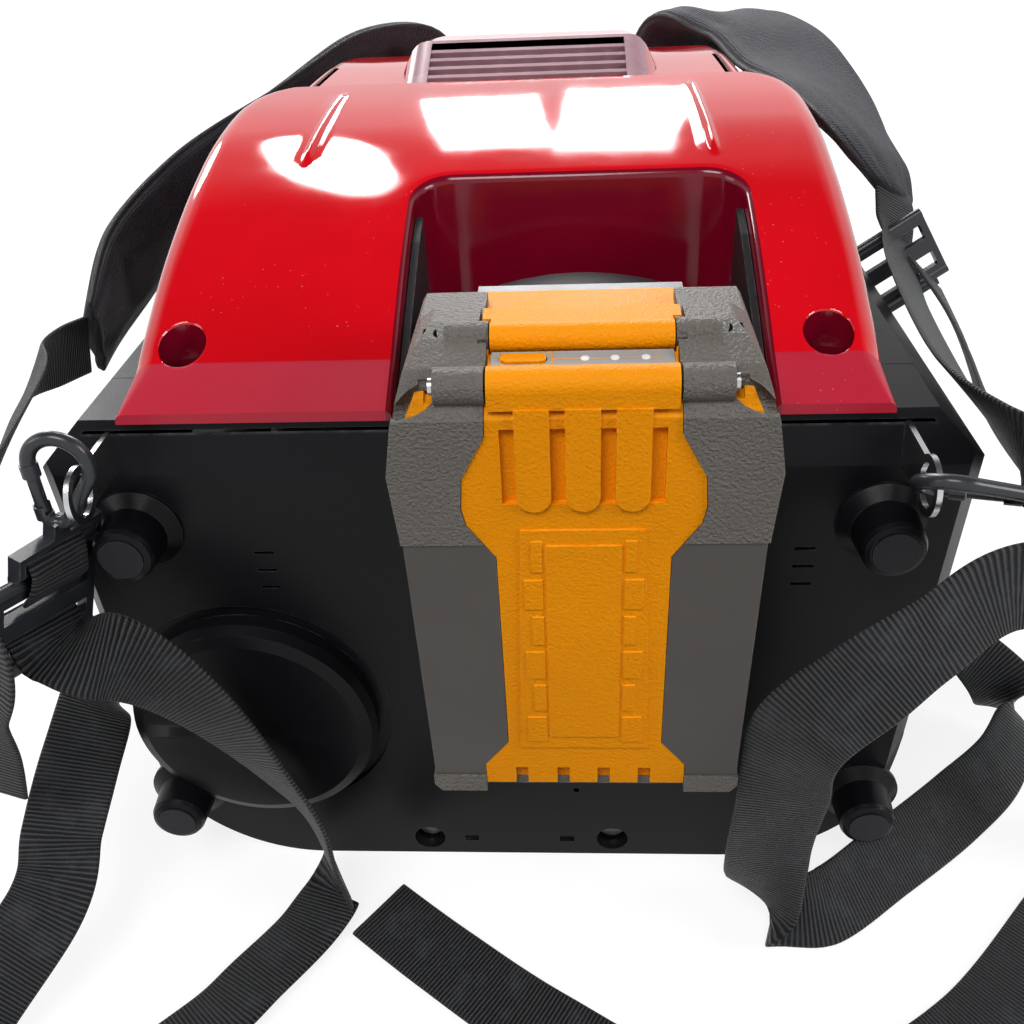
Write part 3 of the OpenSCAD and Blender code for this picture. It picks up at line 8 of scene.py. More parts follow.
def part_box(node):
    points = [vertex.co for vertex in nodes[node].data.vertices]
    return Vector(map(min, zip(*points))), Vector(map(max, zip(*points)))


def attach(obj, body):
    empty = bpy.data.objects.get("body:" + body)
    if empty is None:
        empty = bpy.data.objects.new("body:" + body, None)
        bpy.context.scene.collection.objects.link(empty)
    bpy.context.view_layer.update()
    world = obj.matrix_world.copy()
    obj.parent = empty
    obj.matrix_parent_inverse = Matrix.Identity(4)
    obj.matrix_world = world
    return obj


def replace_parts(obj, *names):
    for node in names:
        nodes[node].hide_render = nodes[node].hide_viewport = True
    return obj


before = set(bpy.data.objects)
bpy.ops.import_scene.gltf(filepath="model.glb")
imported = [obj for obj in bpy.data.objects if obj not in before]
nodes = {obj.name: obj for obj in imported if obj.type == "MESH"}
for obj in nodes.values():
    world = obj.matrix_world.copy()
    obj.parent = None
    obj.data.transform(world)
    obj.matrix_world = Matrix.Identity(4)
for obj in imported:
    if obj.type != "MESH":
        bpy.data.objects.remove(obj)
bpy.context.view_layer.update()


# --------------------
# Viewpoint: a hand-held camera looking down on the base of the pack.
# --------------------
def put(name, data):
    """A new object in the scene."""
    ob = bpy.data.objects.new(name, data)
    bpy.context.scene.collection.objects.link(ob)
    return ob


eye = Vector((0.02069, -0.24548, 0.31055))
ahead = Vector((-0.06073, 0.83170, -0.55190)).normalized()
across = Vector((0.99810, 0.04493, -0.04211)).normalized()
upward = across.cross(ahead).normalized()
lens = bpy.data.cameras.new("camera")
lens.lens = 36.68
lens.sensor_width = 36.0
lens.clip_start = 0.01
camera = put("camera", lens)
camera.matrix_world = Matrix(
    (
        (across.x, upward.x, -ahead.x, eye.x),
        (across.y, upward.y, -ahead.y, eye.y),
        (across.z, upward.z, -ahead.z, eye.z),
        (0, 0, 0, 1),
    )
)
bpy.context.scene.camera = camera
bpy.context.scene.view_settings.view_transform = "Standard"


# --------------------
# Studio: a pale floor that runs out into a white backdrop, a window, skylight
# and lit wall behind the pack, and a key and two fills in front of it. None
# of it belongs to the blower.
# --------------------
def set_up(node, values):
    """Gives a shader node its sockets' values and its settings, each by name."""
    for name, value in values.items():
        socket = name.replace("_", " ")
        if socket in node.inputs:
            node.inputs[socket].default_value = value
        else:
            setattr(node, name, value)
    return node


def add(tree, kind, **values):
    """A new shader node, set up."""
    return set_up(tree.nodes.new("ShaderNode" + kind), values)


def join(source, output, target, socket):
    """Wires one shader node's output into another's input."""
    source.id_data.links.new(source.outputs[output], target.inputs[socket])


def combine(operation, one, output_one, other, output_other):
    """One value made of two nodes' values."""
    made = add(one.id_data, "Math", operation=operation)
    join(one, output_one, made, 0)
    join(other, output_other, made, 1)
    return made


def ramp(tree, low, colour_low, high, colour_high):
    """A ramp from one colour to another between two values."""
    made = add(tree, "ValToRGB")
    ends = made.color_ramp.elements
    ends[0].position = low
    ends[0].color = (*colour_low, 1)
    ends[1].position = high
    ends[1].color = (*colour_high, 1)
    return made


def plainly_seen(tree):
    """1 where the camera sees the surface directly, in gloss or through glass, and 0 elsewhere."""
    path = add(tree, "LightPath")
    through_glass = combine("MAXIMUM", path, "Is Camera Ray", path, "Is Transmission Ray")
    return combine("MAXIMUM", through_glass, 0, path, "Is Glossy Ray")


white = bpy.data.materials.new("studio_floor")
white.use_nodes = True
tree = white.node_tree
tree.nodes.clear()
out = add(tree, "OutputMaterial")
matt = add(tree, "BsdfDiffuse", Color=(0.24, 0.24, 0.24, 1))
lift = add(tree, "Emission", Color=(1, 1, 1, 1))
both = add(tree, "AddShader")
seen = plainly_seen(tree)
# The floor runs out into the white backdrop, and keeps its shadows near the pack.
where = add(tree, "TexCoord")
away = add(tree, "VectorMath", operation="LENGTH")
join(where, "Object", away, 0)
spread = add(tree, "MapRange", From_Min=0.4, From_Max=2.2, To_Min=0.82, To_Max=0.97)
join(away, "Value", spread, "Value")
share = combine("MULTIPLY", seen, 0, spread, 0)
join(share, 0, lift, "Strength")
join(matt, 0, both, 0)
join(lift, 0, both, 1)
join(both, 0, out, "Surface")
floor_mesh = bpy.data.meshes.new("studio_floor")
floor_mesh.from_pydata([(-6, -6, 0), (6, -6, 0), (6, 6, 0), (-6, 6, 0)], [], [(0, 1, 2, 3)])
floor = put("studio_floor", floor_mesh)
floor.location.z = -0.0004
floor.data.materials.append(white)

# A white backdrop all round as high as a person, under a dim ceiling.
sky = bpy.data.worlds.new("studio")
bpy.context.scene.world = sky
sky.use_nodes = True
tree = sky.node_tree
tree.nodes.clear()
out = add(tree, "OutputWorld")
way = add(tree, "TexCoord")
depth = add(tree, "SeparateXYZ")
join(way, "Generated", depth, 0)
fade = ramp(tree, 0.55, (0.075, 0.078, 0.085), 0.98, (0.62, 0.63, 0.66))
join(depth, "Y", fade, 0)
ambient = add(tree, "Background", Strength=1.0)
join(fade, 0, ambient, "Color")
height = ramp(tree, 0.72, (1, 1, 1), 0.88, (0.07, 0.07, 0.075))
level = add(tree, "MapRange", From_Min=-1.0, From_Max=1.0)
join(depth, "Z", level, "Value")
join(level, 0, height, 0)
backdrop = add(tree, "Background", Strength=1.0)
join(height, 0, backdrop, "Color")
seen = plainly_seen(tree)
pick = add(tree, "MixShader")
join(seen, 0, pick, 0)
join(ambient, 0, pick, 1)
join(backdrop, 0, pick, 2)
join(pick, 0, out, "Surface")


def lamp(name, place, aim, size, power, tint=(1, 1, 1), shape="RECTANGLE"):
    """A soft area light, turned to face its aim."""
    light = bpy.data.lights.new(name, "AREA")
    light.shape = shape
    light.size, light.size_y = size
    light.energy = power
    light.color = tint
    ob = put(name, light)
    ob.location = place
    ob.rotation_euler = (Vector(aim) - Vector(place)).to_track_quat("-Z", "Y").to_euler()


# The window has two panes, with a skylight and a lit stretch of wall beside it.
window_aim = (0.0, 0.15, 0.2)
lamp("window_left", (-0.13, 1.55, 0.98), window_aim, (0.21, 0.72), 7.0, (0.97, 0.98, 1.0))
lamp("window_right", (0.11, 1.55, 0.98), window_aim, (0.22, 0.80), 8.0, (0.97, 0.98, 1.0))
lamp("skylight", (-0.40, 1.25, 1.25), window_aim, (0.20, 0.55), 5.0, (1, 1, 1), "ELLIPSE")
lamp("back_wall", (-0.95, 1.35, 0.75), window_aim, (0.30, 0.50), 5.0, (1, 1, 1), "ELLIPSE")
lamp("key", (-0.30, -0.95, 1.55), (0, 0.0, 0.1), (0.9, 0.6), 20.0, (1.0, 0.98, 0.95))
lamp("fill_left", (-1.4, -0.5, 0.9), (0, 0.1, 0.1), (0.7, 0.7), 5.0)
lamp("fill_right", (1.35, -0.5, 0.9), (0, 0.1, 0.1), (0.6, 0.6), 12.0)

# --------------------
# Housing: black glass-filled nylon mouldings, satin with a fine spark
# texture. The base cover and housing meet at the ledge and hold the rest.
# --------------------
def edge_mask(tree, width):
    """Near 1 on edges tighter than width, broken up so that it reads as rubbing."""
    round_edge = add(tree, "Bevel", samples=4, Radius=width)
    true = add(tree, "NewGeometry")
    turn = add(tree, "VectorMath", operation="DOT_PRODUCT")
    spread = add(tree, "MapRange", From_Min=0.995, From_Max=0.86, To_Min=0.0, To_Max=1.0)
    place = add(tree, "TexCoord")
    patches = add(tree, "TexNoise", Scale=140.0, Detail=4.0, Roughness=0.7)
    worn = add(tree, "MapRange", From_Min=0.42, From_Max=0.66)
    join(round_edge, 0, turn, 0)
    join(true, "Normal", turn, 1)
    join(turn, "Value", spread, "Value")
    join(place, "Object", patches, "Vector")
    join(patches, "Fac", worn, "Value")
    return combine("MULTIPLY", spread, 0, worn, 0)


def new_finish(name, **values):
    """A new material, its shader tree, and its surface shader set up."""
    mat = bpy.data.materials.new(name)
    mat.use_nodes = True
    return mat, mat.node_tree, set_up(mat.node_tree.nodes["Principled BSDF"], values)


def moulded(
    name, colour, rough, grain=1300.0, relief=0.25, worn=None, metal=0.0, drift=0.12, shine=0.35,
    depth=0.00015,
):
    """Moulded plastic or bare metal: grain, slow colour drift, uneven gloss and paler rubbed edges."""
    mat, tree, skin = new_finish(name, Metallic=metal, Specular_IOR_Level=shine)
    place = add(tree, "TexCoord")
    slow = add(tree, "TexNoise", Scale=22.0, Detail=5.0, Roughness=0.6)
    fine = add(tree, "TexNoise", Scale=grain, Detail=2.0, Roughness=0.6)
    for texture in (slow, fine):
        join(place, "Object", texture, "Vector")
    tones = ramp(tree, 0.3, [c * (1 - drift) for c in colour], 0.7, [min(1, c * (1 + drift)) for c in colour])
    join(slow, "Fac", tones, 0)
    rub = add(tree, "Mix", data_type="RGBA")
    join(tones, 0, rub, 6)
    rub.inputs[7].default_value = (*(worn or [min(1, c * 1.8 + 0.03) for c in colour]), 1)
    mask = edge_mask(tree, 0.0006)
    join(mask, 0, rub, 0)
    join(rub, 2, skin, "Base Color")
    gloss = add(tree, "MapRange", From_Min=0.3, From_Max=0.7, To_Min=rough * 0.88, To_Max=rough * 1.15)
    join(slow, "Fac", gloss, "Value")
    join(gloss, 0, skin, "Roughness")
    bump = add(tree, "Bump", Strength=relief, Distance=depth)
    join(fine, "Fac", bump, "Height")
    join(bump, 0, skin, "Normal")
    return mat


def dress(names, mat, edge=0.0005, segments=2):
    """Gives CAD nodes their finish, and the small edge radius that their tools leave."""
    for name in names:
        ob = nodes[name]
        ob.data.materials.clear()
        ob.data.materials.append(mat)
        ob.data.shade_smooth()
        merge = ob.modifiers.new("flat faces", "DECIMATE")
        merge.decimate_type = "DISSOLVE"
        merge.angle_limit = math.radians(0.3)
        soft = ob.modifiers.new("edge radius", "BEVEL")
        soft.width = edge
        soft.segments = segments
        soft.limit_method = "ANGLE"
        soft.angle_limit = math.radians(35)
        soft.harden_normals = True
        soft.use_clamp_overlap = True


housing_black = moulded(
    "housing_black", (0.0060, 0.0062, 0.0078), 0.36, relief=0.3, worn=(0.06, 0.06, 0.07), shine=0.13
)
dress(["base_cover", "main_housing"], housing_black, 0.0008, 3)
dress(["back_panel", "grab_handle", "strap_anchors"], housing_black, 0.0006, 2)

rubber = moulded(
    "foot_rubber", (0.005, 0.0055, 0.008), 0.60, grain=700.0, relief=0.35, worn=(0.05, 0.05, 0.055)
)
dress(["foot_pads"], rubber, 0.0009, 3)

zinc = moulded(
    "zinc_plate", (0.50, 0.50, 0.51), 0.32, grain=2200.0, relief=0.12, metal=1.0, worn=(0.7, 0.7, 0.7)
)
dress(["base_screws", "cover_screws", "battery_screws"], zinc, 0.0002)

# --------------------
# Rear cover: one high-gloss red ABS moulding with a matt strip along its near
# edge, a notch for the battery, two screw wells and a hood over the air
# intake. It drops over the ledge and two long screws hold it.
# --------------------
ledge_top = 177.0
cover_half = 105.0
cover_round = 9.0
# Developed plan of the cover: half widths to the flat, the bend and the foot, and its two ends.
flat_half, bend_from, bend_to, plan_half = 86.0, 96.0, 110.0, 130.0
plan_near, plan_far, skirt_near, skirt_far = -3.0, 394.0, 1, 391
cover_stations = (
    (1, 0, 3), (17, 0, 10.5), (28, 0, 16.5), (60, 0, 31), (95, 0, 42), (125, 0, 48), (150, 0, 50),
    (165, 1.5, 50.4), (175, 5, 50.5), (181, 10, 50.5), (184, 12, 46.5), (250, 12, 44.5), (310, 13, 38),
    (355, 15, 28), (380, 18, 17), (392, 22, 6),
)
creases = (17, 181, 184)
notch_mid, notch_w, notch_d, notch_round, notch_lip = 22.5, 102.0, 88.0, 12.0, 2.4
well_x, well_y, well_r, well_lip = 90.3, 23.0, 6.8, 0.6
ridge_line = ((66.5, 97), (65.3, 130), (64.5, 166))
ridge_half, ridge_high = 2.4, 1.5
hood_mid = 3.0
grille_half, ramp_near, ramp_far, ramp_low = 44.0, 189.0, 220.0, 46.0
surround_half, surround_far = 47.5, 221


def eased(rows, at, column, sharp):
    """Value of a column at a distance along its stations, smooth except at the sharp ones."""
    i = max(k for k in range(len(rows) - 1) if k == 0 or rows[k][0] <= at)
    lo, hi = rows[i], rows[i + 1]
    run = hi[0] - lo[0]
    rise = (hi[column] - lo[column]) / run

    def slope(k, other):
        if k in (0, len(rows) - 1) or rows[k][0] in sharp:
            return rise
        a = (rows[k][column] - rows[k - 1][column]) / (rows[k][0] - rows[k - 1][0])
        b = (rows[k + 1][column] - rows[k][column]) / (rows[k + 1][0] - rows[k][0])
        return 0 if a * b <= 0 else 2 * a * b / (a + b)

    u = min(1, max(0, (at - lo[0]) / run))
    m0, m1 = slope(i, hi) * run, slope(i + 1, lo) * run
    a, b = lo[column], hi[column]
    return a + m0 * u + (3 * (b - a) - 2 * m0 - m1) * u**2 + (2 * (a - b) + m0 + m1) * u**3


def from_notch(x, y):
    """Distance outside the notch's outline, negative inside it."""
    qx = abs(x - notch_mid) - (notch_w / 2 - notch_round)
    qy = y - (notch_d - notch_round)
    return math.hypot(max(qx, 0), max(qy, 0)) + min(max(qx, qy), 0) - notch_round


def from_ridge(x, y):
    """Distance from the ridge beside the hood, and the share of its height there."""
    x = abs(x)
    for (xa, ya), (xb, yb) in zip(ridge_line, ridge_line[1:]):
        if ya <= y <= yb:
            mid = xa + (xb - xa) * (y - ya) / (yb - ya)
            return abs(x - mid), min(1, (y - ridge_line[0][1]) / 6, (ridge_line[-1][1] - y) / 6)
    return 99, 0


def cover_point(s, t):
    """Point on the cover: s runs across it and down its sides, t from its near edge backwards."""
    y = max(skirt_near, t)
    half = cover_half - eased(cover_stations, y, 1, creases)
    high = eased(cover_stations, y, 2, creases)
    r = min(cover_round, high * 0.8)
    side, reach = (1 if s >= 0 else -1), abs(s)
    if reach <= flat_half:
        x, z = reach, high
    elif reach <= bend_from:
        x, z = flat_half + (reach - flat_half) / (bend_from - flat_half) * (half - r - flat_half), high
    elif reach <= bend_to:
        a = (reach - bend_from) / (bend_to - bend_from) * math.pi / 2
        x, z = half - r + r * math.sin(a), high - r + r * math.cos(a)
    else:
        x, z = half, (high - r) * (1 - (reach - bend_to) / (plan_half - bend_to))
    gap = from_notch(side * x, y)
    if gap < notch_lip:
        gap = max(0, gap)
        z -= notch_lip - math.sqrt(notch_lip**2 - (notch_lip - gap) ** 2)
    well = math.hypot(abs(x) - well_x, y - well_y) - well_r
    if well < well_lip:
        z -= well_lip - math.sqrt(max(0, well_lip**2 - (well_lip - max(0, well)) ** 2))
    off, share = from_ridge(x, y)
    if off < ridge_half:
        z += share * ridge_high * (0.5 + 0.5 * math.cos(math.pi * off / ridge_half))
    if t < skirt_near:
        z *= (t - plan_near) / (skirt_near - plan_near)
    if t > skirt_far:
        z *= (plan_far - t) / (plan_far - skirt_far)
        y = cover_stations[-1][0]
    return Vector((side * x, y, ledge_top + max(z, 0))) / 1000


def notch_outline(out, near):
    """Outline of the notch grown by out, from its left mouth round to its right one."""
    w, r = notch_w / 2 + out, notch_round + out
    line = [(notch_mid - w, near + k * 2.0) for k in range(int((notch_d - notch_round - near) / 2) + 1)]
    for k in range(15):
        a = math.pi - k * math.pi / 28
        line.append((notch_mid - w + r + r * math.cos(a), notch_d - notch_round + r * math.sin(a)))
    steps = 36
    for k in range(1, steps):
        line.append((notch_mid - w + r + (2 * w - 2 * r) * k / steps, notch_d + out))
    return line + [(2 * notch_mid - x, y) for x, y in reversed(line[: len(line) - steps + 1])]


def grown(ob_name, points, faces, mat, body="pack", scale=1.0):
    """A mesh piece from points and faces, smooth except at real corners."""
    mesh = bpy.data.meshes.new(ob_name)
    mesh.from_pydata([Vector(p) * scale for p in points], [], faces)
    mesh.validate()
    work = bmesh.new()
    work.from_mesh(mesh)
    bmesh.ops.delete(work, geom=[v for v in work.verts if not v.link_faces], context="VERTS")
    bmesh.ops.remove_doubles(work, verts=work.verts, dist=2e-6)
    bmesh.ops.recalc_face_normals(work, faces=work.faces)
    work.to_mesh(mesh)
    work.free()
    mesh.shade_smooth()
    mesh.set_sharp_from_angle(angle=math.radians(32))
    mesh.materials.append(mat)
    ob = put(ob_name, mesh)
    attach(ob, body)
    return ob


def cover_mesh():
    """Triangulates the cover's developed plan, with its openings, and lifts it to shape."""
    flat, edges = [], []

    def line(points, closed=False):
        start = len(flat)
        flat.extend(Vector(p) for p in points)
        edges.extend((start + k, start + k + 1) for k in range(len(points) - 1))
        if closed:
            edges.append((len(flat) - 1, start))

    near, far, wide = plan_near, plan_far, plan_half
    for x in (-wide, wide):
        line([(x, near + k * (far - near) / 150) for k in range(151)])
    for t in (near, far):
        line([(-wide + k * 2 * wide / 100, t) for k in range(101)])
    for t in (skirt_near, *creases, cover_stations[-1][0]):
        line([(-wide + k * 2 * wide / 120, t) for k in range(121)])
    for out in (0, 0.15, 0.5, 1.0, 1.6, notch_lip, notch_lip + 1.5):
        line(notch_outline(out, near))
    for side in (-1, 1):
        for out in (0, 0.2, 0.6, 1.6):
            ring = []
            for k in range(40):
                a, r = math.tau * k / 40, well_r + out
                ring.append((side * well_x + r * math.cos(a), well_y + r * math.sin(a)))
            line(ring, closed=True)
    for side in (-1, 1):
        for k in range(37):
            y = 95 + 2 * k
            for off in (-2.4, -1.9, -1.4, -0.9, -0.45, 0, 0.45, 0.9, 1.4, 1.9, 2.4):
                flat.append(Vector((side * (66.5 - (y - 97) * 0.03 + off), y)))
    rows = [0.0, 1.6, 2.6] + [4 + 2.6 * k for k in range(149)] + [391, 393]
    columns = [-129 + 3.0 * k for k in range(87)] + [s * (97 + 1.4 * k) for s in (-1, 1) for k in range(10)]
    for y in rows:
        for x in columns:
            at_notch = -1.2 < from_notch(x, y) < notch_lip + 2.2
            at_well = math.hypot(abs(x) - well_x, y - well_y) < well_r + 2.4
            at_ridge = 62 < abs(x) < 70 and 93 < y < 169
            if not (at_notch or at_well or at_ridge):
                flat.append(Vector((x, y)))
    points, _, faces, *_ = geometry.delaunay_2d_cdt(flat, edges, [], 0, 1e-5)
    kept, lip = [], []
    for face in faces:
        x, y = (sum(points[k][c] for k in face) / len(face) for c in (0, 1))
        in_well = math.hypot(abs(x) - well_x, y - well_y) < well_r
        under_grille = abs(x - hood_mid) < grille_half - 1 and ramp_near + 1 < y < ramp_far + 4
        if from_notch(x, y) > 0 and not in_well and not under_grille:
            (lip if from_notch(x, y) < 1.6 else kept).append(face)
    return [cover_point(p[0], p[1]) for p in points], kept, lip


def quad(row, k, n):
    """The face between two points of a row of n and the same two of the next row."""
    return row * n + k, row * n + k + 1, (row + 1) * n + k + 1, (row + 1) * n + k


def strip_down(rims):
    """Quads between successive rims, each a list of points."""
    n = len(rims[0])
    faces = [quad(row, k, n) for row in range(len(rims) - 1) for k in range(n - 1)]
    return [p for rim in rims for p in rim], faces


def hood_point(p, t):
    """Point on the hood: p from 0 to 4 round its flanks and roof, t along it."""
    rows = ((189, 66, 47, 46), (220, 69, 46.5, 59), (300, 68, 45, 48), (378, 64, 40, 26))
    root, top, high = (eased(rows, t, c, (220,)) for c in (1, 2, 3))
    side = -1 if p < 2 else 1
    q = p if p < 2 else 4 - p
    fillet = 5.0
    if q <= 1:
        x, z = root + (top - root) * q * 0.86, 15 + (high - 15) * q * 0.86
    else:
        bend = min(1, (q - 1) * 4)
        start = (root + (top - root) * 0.86, 15 + (high - 15) * 0.86)
        corner, end = (top, high), (top - fillet, high)
        x = (1 - bend) ** 2 * start[0] + 2 * bend * (1 - bend) * corner[0] + bend**2 * end[0]
        z = (1 - bend) ** 2 * start[1] + 2 * bend * (1 - bend) * corner[1] + bend**2 * end[1]
        if q > 1.25:
            x = (top - fillet) * (2 - q) / 0.75
    return Vector((hood_mid + side * x, t, ledge_top + z)) / 1000


def hood_mesh():
    """Points and faces of the hood, left open over the grille."""
    rise = [0, 0.4, 0.8, 1, 1.06, 1.12, 1.18, 1.25]
    open_at = 1.25 + 0.75 * (1 - grille_half / 46.4)
    rise += [open_at] + [open_at + (2 - open_at) * k / 6 for k in range(1, 7)]
    ps = rise + [4 - p for p in reversed(rise[:-1])]
    ts = [189, 191.3, 195, 200, 205, 210, 215, 218.2, 220, 222, 226] + [232 + 8 * k for k in range(19)]
    points = [hood_point(p, t) for t in ts for p in ps]
    n = len(ps)
    faces = []
    for i in range(len(ts) - 1):
        for k in range(n - 1):
            over_grille = open_at - 1e-6 <= ps[k] and ps[k + 1] <= 4 - open_at + 1e-6
            if over_grille and 191 < ts[i] < 218:
                continue
            faces.append(quad(i, k, n))
    faces.append([(len(ts) - 1) * n + k for k in range(n)])
    return points, faces


def gloss_red():
    """Pigmented gloss ABS with a slight flow ripple, dust and hairlines, and its matt near strip, whose
    darker, pinker red is a painted reflection.
    """
    mat, tree, skin = new_finish("gloss_red", IOR=1.52)
    place = add(tree, "TexCoord")
    part = add(tree, "SeparateXYZ")
    join(place, "Object", part, 0)
    slow = add(tree, "TexNoise", Scale=14.0, Detail=3.0)
    dust = add(tree, "TexVoronoi", Scale=420.0, Randomness=1.0)
    spots = add(tree, "TexNoise", Scale=30.0, Detail=2.0)
    hair = add(tree, "TexNoise", Scale=9.0, Detail=8.0, Roughness=0.85, Distortion=1.5)
    ripple = add(tree, "TexNoise", Scale=55.0, Detail=1.0)
    for texture in (slow, dust, spots, hair, ripple):
        join(place, "Object", texture, "Vector")
    tones = ramp(tree, 0.35, (0.56, 0.0005, 0.005), 0.65, (0.66, 0.0010, 0.008))
    join(slow, "Fac", tones, 0)
    strip = add(tree, "MapRange", From_Min=0.0168, From_Max=0.0174, To_Min=1.0, To_Max=0.0)
    join(part, "Y", strip, "Value")
    # The near strip's darker, pinker red is a painted reflection of what the strip reflects, not a colour of
    # the plastic.
    strip_painted_reflection = add(tree, "Mix", data_type="RGBA")
    strip_painted_reflection.inputs[7].default_value = (0.46, 0.006, 0.030, 1)
    join(strip, 0, strip_painted_reflection, 0)
    join(tones, 0, strip_painted_reflection, 6)
    speck = add(tree, "MapRange", From_Min=0.06, From_Max=0.10, To_Min=1.0, To_Max=0.0)
    where = add(tree, "MapRange", From_Min=0.52, From_Max=0.66)
    join(dust, "Distance", speck, "Value")
    join(spots, "Fac", where, "Value")
    dusty = combine("MULTIPLY", speck, 0, where, 0)
    pale = add(tree, "Mix", data_type="RGBA")
    pale.inputs[7].default_value = (0.72, 0.22, 0.24, 1)
    join(dusty, 0, pale, 0)
    join(strip_painted_reflection, 2, pale, 6)
    join(pale, 2, skin, "Base Color")
    smear = add(tree, "MapRange", From_Min=0.35, From_Max=0.75, To_Min=0.035, To_Max=0.12)
    join(hair, "Fac", smear, "Value")
    rougher = add(tree, "Math", operation="MULTIPLY_ADD")
    rougher.inputs[1].default_value = 0.36
    join(strip, 0, rougher, 0)
    join(smear, 0, rougher, 2)
    join(rougher, 0, skin, "Roughness")
    bump = add(tree, "Bump", Strength=0.10, Distance=0.0004)
    join(ripple, "Fac", bump, "Height")
    join(bump, 0, skin, "Normal")
    return mat


red = gloss_red()
points, faces, lip_faces = cover_mesh()


def include(more, into):
    """Adds one more stretch of points to the cover, its faces going into that list."""
    start = len(points)
    points.extend(more[0])
    into.extend([[start + k for k in face] for face in more[1]])


rim = [cover_point(x, y) for x, y in notch_outline(0, -3)]
floor_of_notch = [Vector((p.x, p.y, min(p.z, (ledge_top + 0.25) / 1000))) for p in rim]
for side in (-1, 1):
    mouth, foot = [], []
    for k in range(41):
        a = math.tau * k / 40
        x, y = side * well_x + well_r * math.cos(a), well_y + well_r * math.sin(a)
        mouth.append(cover_point(x, y))
        foot.append(Vector((x, y, ledge_top + 2)) / 1000)
    seat = Vector((side * well_x, well_y, ledge_top + 2)) / 1000
    ledge = [seat + (p - seat) * 0.34 for p in foot]
    include(strip_down([mouth, foot, ledge]), lip_faces)
include(strip_down([rim, floor_of_notch]), lip_faces)
hood_points, hood_faces = hood_mesh()
frame_faces = []
for face in hood_faces:
    mid = sum((hood_points[k] for k in face), Vector()) / len(face) * 1000
    if abs(mid.x - hood_mid) < surround_half and mid.y < surround_far and mid.z > ledge_top + ramp_low - 2:
        frame_faces.append(face)
include((hood_points, [face for face in hood_faces if face not in frame_faces]), faces)
cover = grown("rear_cover_shell", points, faces, red)
# The walls of the notch and the wells are given a duller, much darker red than the top: painted shade, for
# the shade that falls into these recesses.
painted_shade_red = moulded(
    "notch_painted_shade_red", (0.17, 0.0018, 0.014), 0.12, grain=60.0, relief=0.05, worn=(0.3, 0.02, 0.03)
)
notch_wall = grown("cover_notch_wall", points, lip_faces, painted_shade_red)
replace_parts(cover, "rear_cover")

# The intake grille is a separate moulding, given a pale mauve grey that is a painted reflection of the sky
# and the red around it on its slats.
grille_painted_reflection = moulded(
    "grille_painted_reflection_mauve", (0.40, 0.235, 0.275), 0.28, grain=900.0, relief=0.12, worn=(0.42, 0.34, 0.36)
)
dress(["intake_grille"], grille_painted_reflection, 0.0004)
grown("grille_surround", hood_points, frame_faces, grille_painted_reflection)

# --------------------
# Battery bay: a black tray let into the housing, and the dock that the
# battery slides down over, with brass blades behind it.
# --------------------
dock_black = moulded(
    "dock_black", (0.014, 0.014, 0.016), 0.46, grain=1500.0, relief=0.15, worn=(0.13, 0.13, 0.13)
)
dress(["battery_tray", "battery_dock", "latch_tab"], dock_black, 0.0006, 3)
brass = moulded("contact_brass", (0.72, 0.52, 0.22), 0.28, grain=1800.0, relief=0.15, metal=1.0)
dress(["dock_contacts"], brass, 0.0001, 1)

# --------------------
# Battery: a yellow case with raised ribs and a bare label plate, soft grey
# bumpers moulded over its corners with a coarse texture, and smoother side
# panels between them. Long screws through the knuckles hold it together.
# --------------------
yellow = moulded(
    "battery_yellow", (0.86, 0.295, 0.0005), 0.50, grain=1250.0, relief=0.8, worn=(0.92, 0.42, 0.02),
    drift=0.06, shine=0.13, depth=0.0004,
)
dress(["battery_case", "release_lever", "charge_button"], yellow, 0.0007, 3)
bumper_grey = moulded(
    "bumper_grey", (0.120, 0.109, 0.097), 0.46, grain=1100.0, relief=1.0, worn=(0.20, 0.19, 0.17),
    drift=0.14, depth=0.0009,
)
dress(["battery_bumpers"], bumper_grey, 0.0016, 3)
panel_grey = moulded(
    "panel_grey", (0.062, 0.056, 0.052), 0.40, grain=1400.0, relief=0.3, worn=(0.16, 0.15, 0.14)
)
dress(["battery_side_panels", "battery_deck"], panel_grey, 0.0006, 2)
gauge_grey = moulded(
    "gauge_grey", (0.32, 0.33, 0.34), 0.40, grain=1600.0, relief=0.1, worn=(0.55, 0.55, 0.55)
)
dress(["charge_panel"], gauge_grey, 0.0002)


def raised(ob_name, blocks, mat, body, radius=0.0003):
    """Low moulded or printed blocks, each given by its eight corners, with rounded edges."""
    points, faces = [], []
    for block in blocks:
        start = len(points)
        points.extend(block)
        for face in ((0, 1, 3, 2), (4, 6, 7, 5), (0, 2, 6, 4), (1, 5, 7, 3), (0, 4, 5, 1), (2, 3, 7, 6)):
            faces.append([start + k for k in face])
    ob = grown(ob_name, points, faces, mat, body, 0.001)
    soft = ob.modifiers.new("edge radius", "BEVEL")
    soft.width = radius
    soft.segments = 2
    soft.harden_normals = True
    return ob


# The tread either side of the bare plate: staggered low pads, six to a side.
battery_at = Vector((22.5, -46.3, 85.0))
tread = []
for side in (-1, 1):
    for row in range(6):
        outer = (13.2 if row % 2 else 15.0) - row * 0.15
        low, high = 19.4 + row * 11.3, 28.6 + row * 11.3
        corners = ((side * x, y, z) for x in (9.7, outer) for y in (-0.28, 0.4) for z in (low, high))
        tread.append([battery_at + Vector(corner) for corner in corners])
raised("battery_tread", tread, yellow, "battery")


def on_gauge(x, y, z):
    """Point on the charge panel: across it, up it, and out of its face."""
    c, s = math.cos(math.radians(9)), math.sin(math.radians(9))
    return battery_at + Vector((x, 8.4 + y * c - z * s, 124.5 + y * s + z * c))


def gauge_block(x0, x1, y0, y1):
    """A low printed bar on the charge panel."""
    return [on_gauge(x, y, z) for x in (x0, x1) for y in (y0, y1) for z in (1.2, 1.36)]


